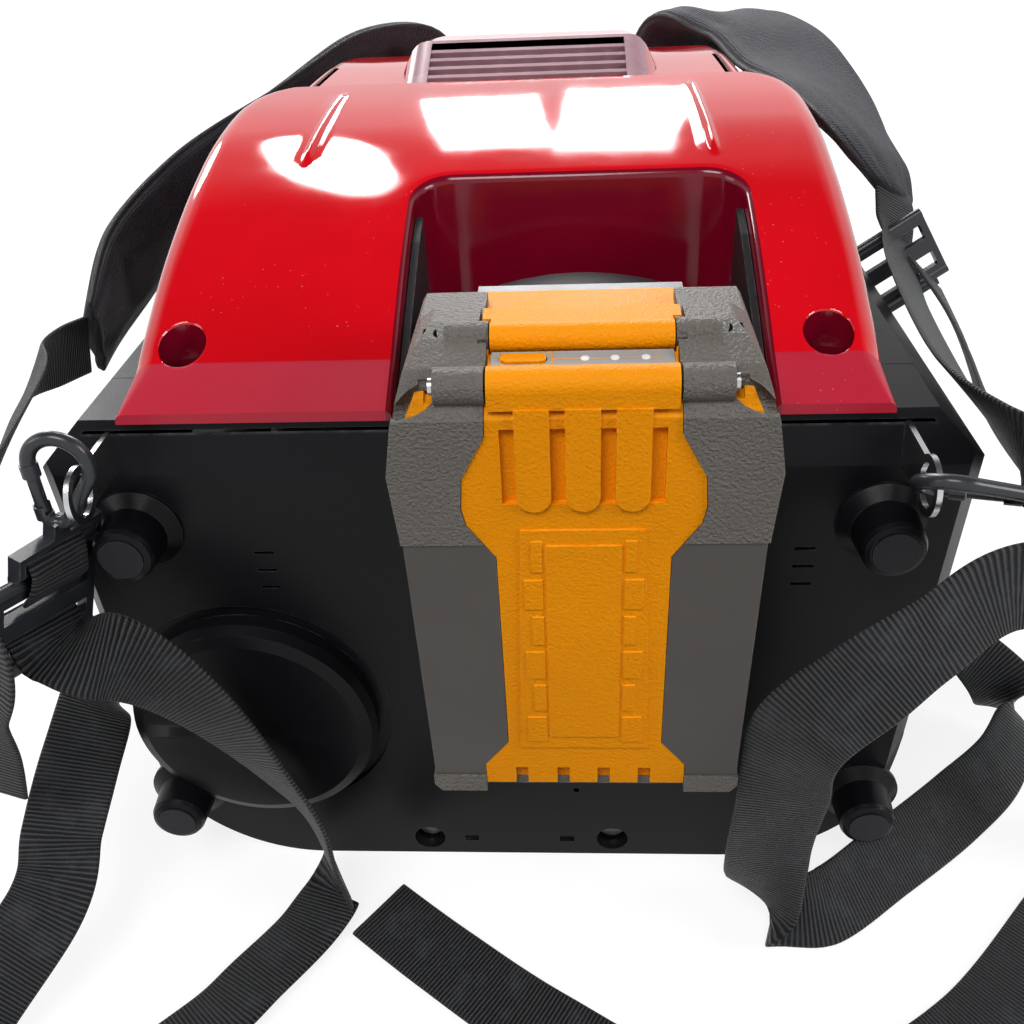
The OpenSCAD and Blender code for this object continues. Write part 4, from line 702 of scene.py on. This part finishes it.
# Printed outline of the button and its leader line, and three frosted level lights.
print_yellow = moulded("print_yellow", (0.70, 0.30, 0.01), 0.4, grain=1800.0, relief=0.1)
marks = [
    gauge_block(-18.3, -6.4, 0.75, 1.15),
    gauge_block(-18.3, -6.4, 5.2, 5.6),
    gauge_block(-18.3, -17.9, 0.75, 5.6),
    gauge_block(-6.8, -6.4, 0.75, 5.6),
    gauge_block(-6.4, 17.4, 3.05, 3.3),
]
raised("gauge_marks", marks, print_yellow, "battery", 0.00004)
frosted = moulded("frosted_light", (0.80, 0.81, 0.80), 0.3, grain=1500.0, relief=0.1)
lights, light_faces = [], []
sides = 20
for x in (0.6, 7.2, 14.0):
    start = len(lights)
    for lift, reach in ((1.2, 1.0), (1.42, 1.0), (1.52, 0.8), (1.56, 0.4)):
        for k in range(sides):
            a = math.tau * k / sides
            lights.append(on_gauge(x + reach * math.cos(a), 3.2 + reach * math.sin(a), lift))
    for ring in range(3):
        for k in range(sides):
            a, b = start + ring * sides + k, start + ring * sides + (k + 1) % sides
            light_faces.append((a, b, b + sides, a + sides))
    light_faces.append([start + 3 * sides + k for k in range(sides)])
grown("gauge_lights", lights, light_faces, frosted, "battery", 0.001)

sleeve = moulded("cell_sleeve", (0.05, 0.15, 0.38), 0.3, grain=1200.0, relief=0.1)
dress(["battery_cells"], sleeve, 0.0004, 2)

# --------------------
# Fan unit inside the housing: a ducted axial fan on a motor in its carrier,
# with the controller and its heat sink beside it.
# --------------------
duct_black = moulded("duct_black", (0.022, 0.022, 0.024), 0.5, grain=900.0, relief=0.3)
dress(["fan_duct", "inlet_ring", "motor_carrier", "tail_cone"], duct_black, 0.0004)
blade_black = moulded("blade_black", (0.018, 0.019, 0.020), 0.32, grain=1200.0, relief=0.15)
dress(["impeller"], blade_black, 0.0002, 1)
steel = moulded(
    "steel", (0.52, 0.53, 0.54), 0.26, grain=2400.0, relief=0.2, metal=1.0, worn=(0.75, 0.75, 0.75)
)
dress(["motor_shaft", "motor_bearings"], steel, 0.0002)
bare_alloy = moulded("bare_alloy", (0.62, 0.63, 0.64), 0.38, grain=1500.0, relief=0.3, metal=1.0)
dress(["motor_can", "heat_sink"], bare_alloy, 0.0003)
board = moulded("board_green", (0.015, 0.11, 0.045), 0.34, grain=1700.0, relief=0.2)
dress(["motor_controller"], board, 0.0003)

# --------------------
# Outlet: an elbow in the base that swivels on a pin and ends in a bare hose
# collar, running on a dark rubber seal.
# --------------------
dress(["outlet_elbow", "elbow_pivot"], housing_black, 0.0006, 2)
dress(["elbow_seal"], rubber, 0.0003)

# --------------------
# Harness hardware: pressed steel lugs on the pack, and moulded nylon hooks
# and ladder-lock buckles on the webbing.
# --------------------
dress(["left_lug", "right_lug"], steel, 0.0004, 2)
hook_nylon = moulded(
    "hook_nylon", (0.030, 0.032, 0.038), 0.26, grain=1000.0, relief=0.1, worn=(0.14, 0.14, 0.15)
)
dress(["left_hook", "right_hook", "left_buckle", "right_buckle"], hook_nylon, 0.0005, 3)
dress(["left_hook_gate", "right_hook_gate"], hook_nylon, 0.0003, 2)


# --------------------
# Webbing: black polypropylene strap, 25 mm wide but for the 20 mm loop on the
# left hook, woven with raised ribs across it. Each piece is threaded through
# its buckle or hook and sewn.
# --------------------
def through(rows, step):
    """A smooth line through the rows, with a point about every step millimetres."""
    line = []
    for i in range(len(rows) - 1):
        a, b, c, d = rows[max(i - 1, 0)], rows[i], rows[i + 1], rows[min(i + 2, len(rows) - 1)]
        parts = max(2, round(math.dist(b[:3], c[:3]) / step))
        for k in range(parts):
            u = k / parts
            point = []
            for p, q, r, s in zip(a, b, c, d):
                curve = (2 * p - 5 * q + 4 * r - s) * u**2 + (3 * q - p - 3 * r + s) * u**3
                point.append(0.5 * (2 * q + (r - p) * u + curve))
            line.append(point)
    line.append(list(rows[-1]))
    return line


def along_line(line, calm=3):
    """Place, width direction and face direction at each point, the width turning evenly."""
    n = len(line)
    places = [Vector(p[:3]) / 1000 for p in line]
    runs = [(places[min(i + 1, n - 1)] - places[max(i - 1, 0)]).normalized() for i in range(n)]
    wide = []
    for p, t in zip(line, runs):
        lean = Vector(p[3:6])
        wide.append((lean - t * lean.dot(t)).normalized())
    for _ in range(calm):
        wide = [wide[0]] + [wide[i - 1] + 2 * wide[i] + wide[i + 1] for i in range(1, n - 1)] + [wide[-1]]
        wide = [(w - t * w.dot(t)).normalized() for w, t in zip(wide, runs)]
    return [(p, w, t.cross(w)) for p, w, t in zip(places, wide, runs)]


def tube_of(ob_name, rings, mat, body="pack"):
    """A closed skin through rings of equal length, with its own measured UVs."""
    n, m = len(rings), len(rings[0])
    points = [p for ring in rings for p in ring]
    faces = [
        (i * m + j, i * m + (j + 1) % m, (i + 1) * m + (j + 1) % m, (i + 1) * m + j)
        for i in range(n - 1)
        for j in range(m)
    ]
    faces += [list(range(m))[::-1], [(n - 1) * m + j for j in range(m)]]
    mesh = bpy.data.meshes.new(ob_name)
    mesh.from_pydata(points, [], faces)
    girth = [0.0]
    for j in range(m):
        girth.append(girth[-1] + (rings[n // 2][(j + 1) % m] - rings[n // 2][j]).length)
    run = [0.0]
    for i in range(1, n):
        mid_a = sum(rings[i - 1], Vector()) / m
        mid_b = sum(rings[i], Vector()) / m
        run.append(run[-1] + (mid_b - mid_a).length)
    layer = mesh.uv_layers.new(name="cloth")
    for face in mesh.polygons:
        for corner in face.loop_indices:
            v = mesh.loops[corner].vertex_index
            i, j = divmod(v, m)
            last = face.index < (n - 1) * m and j == 0 and face.index % m == m - 1
            layer.data[corner].uv = (girth[m] if last else girth[j], run[i])
    mesh.shade_smooth()
    mesh.materials.append(mat)
    ob = put(ob_name, mesh)
    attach(ob, body)
    return ob, run[-1]


def webbing_finish(name, dark, light, rib):
    """Woven strap: ribs across it, yarns along each rib, fuzz and a faint dusty wear; its colour follows the
    weave's height, with a painted highlight on the rib crests and painted shade in the grooves.
    """
    mat, tree, skin = new_finish(name, Sheen_Weight=0.06, Sheen_Roughness=0.45, Specular_IOR_Level=0.2)
    place = add(tree, "UVMap", uv_map="cloth")
    ribs = add(tree, "TexWave", bands_direction="Y", Scale=math.tau / 20 / rib, Distortion=0.6, Detail=1.0)
    yarns = add(tree, "TexWave", bands_direction="X", Scale=math.tau / 20 / 0.0007, Distortion=0.8)
    dust = add(tree, "TexNoise", Scale=60.0, Detail=6.0, Roughness=0.7)
    for texture in (ribs, yarns, dust):
        join(place, 0, texture, "Vector")
    relief = add(tree, "Math", operation="MULTIPLY_ADD")
    relief.inputs[1].default_value = 0.25
    join(yarns, "Fac", relief, 0)
    join(ribs, "Fac", relief, 2)
    # Painted light: the colour runs from dark in the grooves to light on the rib crests, a painted shade and
    # a painted highlight.
    tones = ramp(tree, 0.55, dark, 0.95, light)
    join(relief, 0, tones, 0)
    dusty = add(tree, "Mix", data_type="RGBA")
    dusty.inputs[7].default_value = (*[c * 1.7 + 0.02 for c in light], 1)
    amount = add(tree, "MapRange", From_Min=0.5, From_Max=0.85, To_Min=0.0, To_Max=0.5)
    join(dust, "Fac", amount, "Value")
    join(amount, 0, dusty, 0)
    join(tones, 0, dusty, 6)
    join(dusty, 2, skin, "Base Color")
    gloss = add(tree, "MapRange", To_Min=0.62, To_Max=0.42)
    join(ribs, "Fac", gloss, "Value")
    join(gloss, 0, skin, "Roughness")
    bump = add(tree, "Bump", Strength=0.9, Distance=0.0004)
    join(relief, 0, bump, "Height")
    join(bump, 0, skin, "Normal")
    return mat


def woven(ob_name, rows, width=25.0, thick=1.5):
    """A length of webbing along its route, with rounded woven edges."""
    rings = []
    half = width / 2
    profile = [(-half, 0)]
    profile += [(-half + 0.5, -0.42 * thick), (-half + 1.6, -0.5 * thick)]
    profile += [(-half * 0.5, -0.46 * thick), (0, -0.45 * thick), (half * 0.5, -0.46 * thick)]
    profile += [(half - 1.6, -0.5 * thick), (half - 0.5, -0.42 * thick), (half, 0)]
    profile += [(-x, -y) for x, y in profile[1:-1]]
    for p, w, h in along_line(through(rows, 1.6)):
        rings.append([p + w * (x / 1000) + h * (y / 1000) for x, y in profile])
    ob, length = tube_of(ob_name, rings, black_webbing)
    return ob


def strap(node, rows, width=25.0):
    """The same in the place of its CAD node."""
    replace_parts(woven(node + "_cloth", rows, width), node)


black_webbing = webbing_finish("black_webbing", (0.0016, 0.0017, 0.0026), (0.040, 0.043, 0.048), 0.0013)

strap(
    "left_pad_webbing",
    (
        (-184.3, 152.8, 133.5, 0.1, 0, 1), (-187, 134, 137, 0.15, 0, 0.99), (-186, 110, 142, 0.45, 0, 0.89),
        (-173, 78, 148, 0.68, 0, 0.74), (-152.1, 7.5, 153, 0.52, -0.34, 0.78),
        (-145.1, -18.2, 150.7, 0.33, -0.36, 0.87), (-139.6, -34.4, 145.9, 0.47, -0.38, 0.8),
        (-138.3, -40.6, 136, 0.87, -0.34, 0.35), (-140.2, -41.7, 124.1, 0.9, -0.42, -0.08),
        (-146.5, -40.4, 111.4, 0.86, -0.43, -0.27), (-150.5, -40.5, 94, 0.99, -0.15, 0),
        (-154, -40, 78, 0.99, -0.15, 0),
    ),
)
strap(
    "left_hook_webbing",
    (
        (-126.6, -21.7, 138.6, -0.41, -0.9, 0.13), (-127.3, -20.9, 141.9, -0.41, -0.9, 0.13),
        (-127.3, -20.4, 145.4, -0.41, -0.9, 0.13), (-125.4, -20.3, 149.9, -0.33, -0.94, 0.1),
        (-123.6, -20.8, 152.4, -0.33, -0.94, 0.1), (-121.1, -21.8, 152.9, -0.33, -0.94, 0.1),
        (-119.2, -22.9, 151.8, -0.33, -0.94, 0.1), (-118.6, -23.5, 149.3, -0.33, -0.94, 0.1),
        (-119.1, -23.7, 146.5, -0.33, -0.94, 0.1), (-119.9, -24.1, 143.4, -0.41, -0.9, 0.13),
        (-121.6, -23.6, 141.1, -0.41, -0.9, 0.13), (-124.2, -22.8, 138.3, -0.41, -0.9, 0.13),
    ),
    20.0,
)
strap(
    "left_lower_strap",
    (
        (-130.4, -22.6, 135.1, -0.41, -0.9, 0.13), (-131.4, -22.8, 131.1, -0.41, -0.9, 0.13),
        (-130.8, -23.5, 127.8, -0.41, -0.9, 0.13), (-128.9, -24.8, 125.5, -0.41, -0.9, 0.13),
        (-128.2, -25.6, 122.8, -0.41, -0.9, 0.13), (-126.4, -26.1, 119.5, -0.41, -0.9, 0.13),
        (-117, -27.5, 119, -0.22, -0.81, -0.54), (-108.1, -28, 117, -0.44, -0.45, -0.78),
        (-97.6, -28, 109, -0.45, -0.1, -0.89), (-86.2, -28, 94.5, -0.52, 0.2, -0.83),
        (-73.6, -28.5, 72.9, -0.45, 0.48, -0.75), (-64.6, -28, 52, -0.35, 0.62, -0.7),
        (-61.6, -25, 29, -0.3, 0.76, -0.58), (-61.5, -20, 13, -0.45, 0.84, -0.3),
        (-64, -19.5, 4.4, -0.66, 0.74, -0.14), (-70.8, -34.5, 3.2, -0.82, 0.55, -0.17),
        (-83.3, -52.5, 3.2, -0.82, 0.55, -0.17), (-94.9, -68.2, 3.2, -0.82, 0.55, -0.17),
        (-121, -92, 3.2, -0.6, 0.8, -0.1), (-146, -101, 4, 0, 1, 0), (-168, -84, 8, 0.8, 0.6, 0.1),
        (-144.7, -50, 36.1, 0.99, 0.1, -0.1), (-142, -34, 50.8, 0.96, -0.05, -0.26),
        (-141.7, -16, 59.3, 0.9, -0.1, -0.43), (-143.4, 8, 65, 0.83, -0.21, -0.52),
        (-160, 38, 50, 0.74, -0.53, -0.42), (-157, 62, 45.6, 0.31, -0.94, -0.16),
        (-148, 73, 44.2, 0, -1, -0.05), (-139, 74, 44, 0, -1, 0),
    ),
)
strap(
    "right_hook_webbing",
    (
        (153.4, 172.8, 158.5, 0.66, 0.11, -0.74), (141.6, 122, 165, 0.67, 0, -0.74),
        (133.6, 60, 169, 0.69, 0, -0.72), (131.8, 24, 170.5, 0.67, 0, -0.74),
        (136.5, -4, 170, 0.45, -0.35, -0.82), (145.2, -21.2, 164.9, -0.13, -0.31, -0.94),
        (144.7, -26.3, 166.6, -0.13, -0.31, -0.94), (144.1, -29.1, 167.6, -0.13, -0.31, -0.94),
        (143.5, -31.3, 168.5, -0.13, -0.31, -0.94),
    ),
)
strap(
    "right_lower_strap",
    (
        (146.9, -31.5, 168.1, -0.13, -0.31, -0.94), (151.2, -33.9, 168.2, -0.13, -0.31, -0.94),
        (162, -26, 168, 0.12, -0.5, -0.86), (172, -27, 162, 0.2, -0.4, -0.9),
        (172, -32, 153, 0.33, -0.2, -0.92), (155, -36, 150, 0.42, -0.1, -0.9),
        (125.7, -40, 150, 0.47, -0.05, -0.88), (107.8, -47, 140.7, 0.44, -0.12, -0.89),
        (92.5, -51, 129.5, 0.45, -0.33, -0.83), (76.8, -51.5, 110.6, 0.59, -0.41, -0.69),
        (77.2, -45, 79.4, 0.89, -0.03, -0.46), (77.3, -38, 46.9, 0.98, -0.05, -0.18),
        (81.6, -31, 15, 0.61, -0.35, -0.71), (99.6, -29.7, 11.6, 0.59, -0.36, -0.72),
        (126, -10.2, 11, 0.59, -0.45, -0.67), (155.6, 13.8, 9.9, 0.56, -0.58, -0.59),
        (178, 34, 13, 0.3, -0.61, -0.73), (186, 54, 22, 0.2, -0.61, -0.77),
        (172, 68, 36, 0.11, -0.83, -0.55), (154, 73.5, 44.4, 0, -1, 0.05), (139, 74, 44, 0, -1, 0),
    ),
)
strap(
    "right_strap_tail",
    (
        (164.1, 169.9, 149.4, -0.7, -0.17, 0.7), (166, 134, 143, -0.55, -0.1, 0.8),
        (160, 90, 142, -0.4, -0.1, 0.9), (152.5, 40, 147, -0.5, 0, 0.85), (152, 8, 153, -0.4, 0.2, 0.9),
        (166, -8, 150, -0.3, 0.2, 0.9), (186, -8, 134, -0.15, -0.7, 0.6), (198, -6, 100, -0.05, -0.98, 0.1),
        (203, -2, 50, -0.1, -0.98, 0), (205, -4, 18, -0.1, -0.98, 0), (202, -6, 5, -0.1, -0.98, 0),
        (195, -9, 2, 0.2, -0.98, 0), (180, -25, 1.4, 0.64, -0.76, 0), (140, -64, 1.4, 0.57, -0.82, 0),
        (96, -88, 1.4, 0.3, -0.95, 0), (56, -90, 1.4, -0.25, -0.97, 0), (10, -66, 1.4, -0.5, -0.86, 0),
        (-24, -43, 1.4, -0.58, -0.82, 0), (-48, -25, 1.4, -0.6, -0.8, 0),
    ),
)
# The end sewn into the tip of the right pad, which runs on through its buckle.
woven(
    "right_pad_end_webbing",
    (
        (155.7, 203.9, 175.8, 0.7, 0, -0.7), (155.4, 198.8, 173.0, 0.7, 0.02, -0.71),
        (154.8, 192.0, 167.3, 0.69, 0.04, -0.72), (153.8, 185.4, 162.3, 0.68, 0.06, -0.73),
        (153.5, 178.2, 159.3, 0.67, 0.08, -0.74), (153.4, 173.5, 158.5, 0.66, 0.11, -0.74),
    ),
)

# --------------------
# Shoulder pads and back pad: foam in a near-black woven cover, the shoulder
# pads bound along both edges with folded tape. They are held at the pack's
# top edge on the wearer's side, and arch forward over it.
# --------------------
def cloth_finish(name, dark, light):
    """Plain-woven polyester cover: crossed yarns, slubs, soft sheen and slow fading."""
    mat, tree, skin = new_finish(name, Sheen_Weight=0.12, Sheen_Roughness=0.5, Specular_IOR_Level=0.25)
    place = add(tree, "UVMap", uv_map="cloth")
    warp = add(tree, "TexWave", bands_direction="X", Scale=math.tau / 20 / 0.0015, Distortion=1.2, Detail=1.0)
    weft = add(tree, "TexWave", bands_direction="Y", Scale=math.tau / 20 / 0.0015, Distortion=1.2, Detail=1.0)
    fade = add(tree, "TexNoise", Scale=24.0, Detail=6.0, Roughness=0.65)
    slub = add(tree, "TexNoise", Scale=420.0, Detail=2.0)
    for texture in (warp, weft, fade, slub):
        join(place, 0, texture, "Vector")
    crossed = combine("MAXIMUM", warp, "Fac", weft, "Fac")
    mixed = add(tree, "Math", operation="MULTIPLY_ADD")
    mixed.inputs[1].default_value = 0.35
    join(crossed, 0, mixed, 0)
    join(fade, "Fac", mixed, 2)
    tones = ramp(tree, 0.45, dark, 0.95, light)
    join(mixed, 0, tones, 0)
    join(tones, 0, skin, "Base Color")
    gloss = add(tree, "MapRange", To_Min=0.85, To_Max=0.6)
    join(slub, "Fac", gloss, "Value")
    join(gloss, 0, skin, "Roughness")
    relief = combine("ADD", crossed, 0, slub, "Fac")
    bump = add(tree, "Bump", Strength=0.9, Distance=0.0005)
    join(relief, 0, bump, "Height")
    join(bump, 0, skin, "Normal")
    return mat


def swell(ob, held_points, cap, pressure=4.0):
    """Blows the cover up a little from inside, with its seams held, and applies the result."""
    rest = [v.co.copy() for v in ob.data.vertices]
    seams = ob.vertex_groups.new(name="seams")
    seams.add(held_points, 1.0, "REPLACE")
    cloth = ob.modifiers.new("cover", "CLOTH")
    settings = cloth.settings
    settings.use_pressure = True
    settings.uniform_pressure_force = pressure
    settings.effector_weights.gravity = 0
    settings.vertex_group_mass = "seams"
    settings.quality = 4
    settings.tension_stiffness = 12
    settings.compression_stiffness = 12
    settings.bending_stiffness = 0.4
    frames = 20
    cloth.point_cache.frame_end = frames
    scene = bpy.context.scene
    for at in range(1, frames + 1):
        scene.frame_set(at)
    shaped = ob.evaluated_get(bpy.context.evaluated_depsgraph_get()).to_mesh()
    moved = [v.co.copy() for v in shaped.vertices]
    ob.modifiers.remove(cloth)
    scene.frame_set(1)
    for v, was, now in zip(ob.data.vertices, rest, moved):
        step = now - was
        if step.length > cap:
            step *= cap / step.length
        v.co = was + step
    ob.data.update()


def boxy(share, power):
    """A sine or cosine drawn out towards the side of a square."""
    return math.copysign(abs(share) ** power, share)


def shoulder_pad(node, rows, seed, folds):
    """A pad on its CAD node's route, swollen between its seams and creased lengthwise."""
    width, thick, around = 61.0, 11.0, 40
    line = through(rows, 4.5)
    rings = []
    for (p, w, h), row in zip(along_line(line, 6), line):
        ring = []
        for j in range(around):
            a = math.tau * j / around
            c, s = math.cos(a), math.sin(a)
            x = row[6] * width / 2 * boxy(c, 0.6)
            y = row[7] * thick / 2 * boxy(s, 0.8)
            ring.append(p + w * (x / 1000) + h * (y / 1000))
        rings.append(ring)
    pad, length = tube_of(node + "_cover", rings, pad_cloth)
    held = []
    for i in range(len(rings)):
        held += [i * around, i * around + around // 2]
        if i in (0, len(rings) - 1):
            held += list(range(i * around, (i + 1) * around))
    swell(pad, held, cap=0.0035)
    normals = [v.normal.copy() for v in pad.data.vertices]
    for v, normal in zip(pad.data.vertices, normals):
        i, j = divmod(v.index, around)
        a = math.tau * j / around
        u = math.cos(a) * 30
        along = length * 1000 * i / len(rings)
        crease = noise.noise(Vector((u / 9 + seed, along / 70 + seed, math.sin(a))))
        fine = noise.noise(Vector((u / 4 + seed, along / 22, 2 + math.sin(a))))
        keep = abs(math.sin(a)) ** 0.7
        v.co += normal * keep * (folds * crease + 0.25 * folds * fine) / 1000
    pad.data.update()
    smooth = pad.modifiers.new("cover smooth", "SUBSURF")
    smooth.levels = smooth.render_levels = 1
    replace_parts(pad, node)
    binding(node, rings, around)


def binding(node, rings, around):
    """A folded tape along both edges of a pad."""
    for name, j in (("inner", 0), ("outer", around // 2)):
        edge = [ring[j] for ring in rings[1:-1]]
        inward = [(ring[around // 2 - j] - ring[j]).normalized() for ring in rings[1:-1]]
        tape = []
        for i, (p, side) in enumerate(zip(edge, inward)):
            run = (edge[min(i + 1, len(edge) - 1)] - edge[max(i - 1, 0)]).normalized()
            face = run.cross(side).normalized()
            ring = []
            for k in range(10):
                a = math.tau * k / 10
                ring.append(p + side * (0.0024 * math.cos(a) + 0.0012) + face * 0.0014 * math.sin(a))
            tape.append(ring)
        ob, _ = tube_of(node + "_binding_" + name, tape, pad_binding)


pad_cloth = cloth_finish("pad_cloth", (0.008, 0.0085, 0.0135), (0.034, 0.035, 0.048))
pad_binding = webbing_finish("pad_binding", (0.010, 0.010, 0.013), (0.045, 0.046, 0.053), 0.0009)

shoulder_pad(
    "left_shoulder_pad",
    (
        (-80, 379, 7.4, 1, 0, 0, 0.9, 0.6), (-80, 398, 8.4, 1, 0, 0, 1, 0.8), (-78, 416, 40, 1, 0, 0, 1, 1),
        (-76, 421, 110, 1, 0, 0, 1, 1), (-74, 415, 176, 1, 0, 0.1, 1, 1), (-82, 396, 202, 0.95, 0, 0.3, 1, 1),
        (-110, 362, 199, 0.75, 0.1, 0.65, 1, 1), (-146, 316, 173, 0.5, 0, 0.87, 1, 1),
        (-176, 262, 156, 0.3, 0, 0.95, 0.95, 1), (-188, 206, 142, 0.15, 0, 1, 0.85, 0.9),
        (-184, 158, 132, 0.1, 0, 1, 0.5, 0.5),
    ),
    3.0, 2.2,
)
shoulder_pad(
    "right_shoulder_pad",
    (
        (80, 379, 7.4, 1, 0, 0, 0.9, 0.6), (80, 398, 8.4, 1, 0, 0, 1, 0.8), (79, 416, 40, 1, 0, 0, 1, 1),
        (80, 421, 110, 1, 0, 0, 1, 1), (84, 416, 180, 1, 0, 0, 1, 1), (96, 396, 212, 1, 0, 0, 1, 1),
        (120, 360, 212, 0.97, 0, -0.1, 1, 1), (134, 308, 200, 0.95, 0, -0.2, 1, 1),
        (142, 256, 192, 0.85, 0, -0.5, 0.95, 1), (149.5, 220, 184, 0.8, 0, -0.6, 0.8, 0.9),
        (155.4, 198.8, 173, 0.7, 0, -0.7, 0.5, 0.5),
    ),
    8.0, 3.0,
)


def back_cushion():
    """The pad on the wearer's side: a crowned cushion with two pressed channels across it."""
    low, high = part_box("back_pad")
    rows = 90
    rings = []
    mid_x = (low.x + high.x) / 2
    around = 48
    channels, channel_deep, channel_half = (0.126, 0.196), 0.42, 0.0035
    for i in range(rows + 1):
        v = i / rows
        y = low.y + (high.y - low.y) * v
        near = min(v, 1 - v) * (high.y - low.y)
        crown = 0.45 + 0.55 * math.sin(min(1, near / 0.020) * math.pi / 2)
        for channel in channels:
            crown -= channel_deep * math.exp(-(((y - low.y) - channel) / channel_half) ** 2)
        half = (high.x - low.x) / 2 - 0.0015 - 0.012 * (1 - math.sin(min(1, near / 0.018) * math.pi / 2))
        t = (high.z - low.z - 0.001) * crown
        ring = []
        for j in range(around):
            a = math.tau * j / around
            c, s = math.cos(a), math.sin(a)
            x = mid_x + half * boxy(c, 0.45)
            z = high.z - 0.0004 - t / 2 + t / 2 * boxy(s, 0.55)
            ring.append(Vector((x, y, z)))
        rings.append(ring)
    pad, _ = tube_of("back_pad_cover", rings, pad_cloth)
    smooth = pad.modifiers.new("cover smooth", "SUBSURF")
    smooth.levels = smooth.render_levels = 1
    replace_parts(pad, "back_pad")


back_cushion()
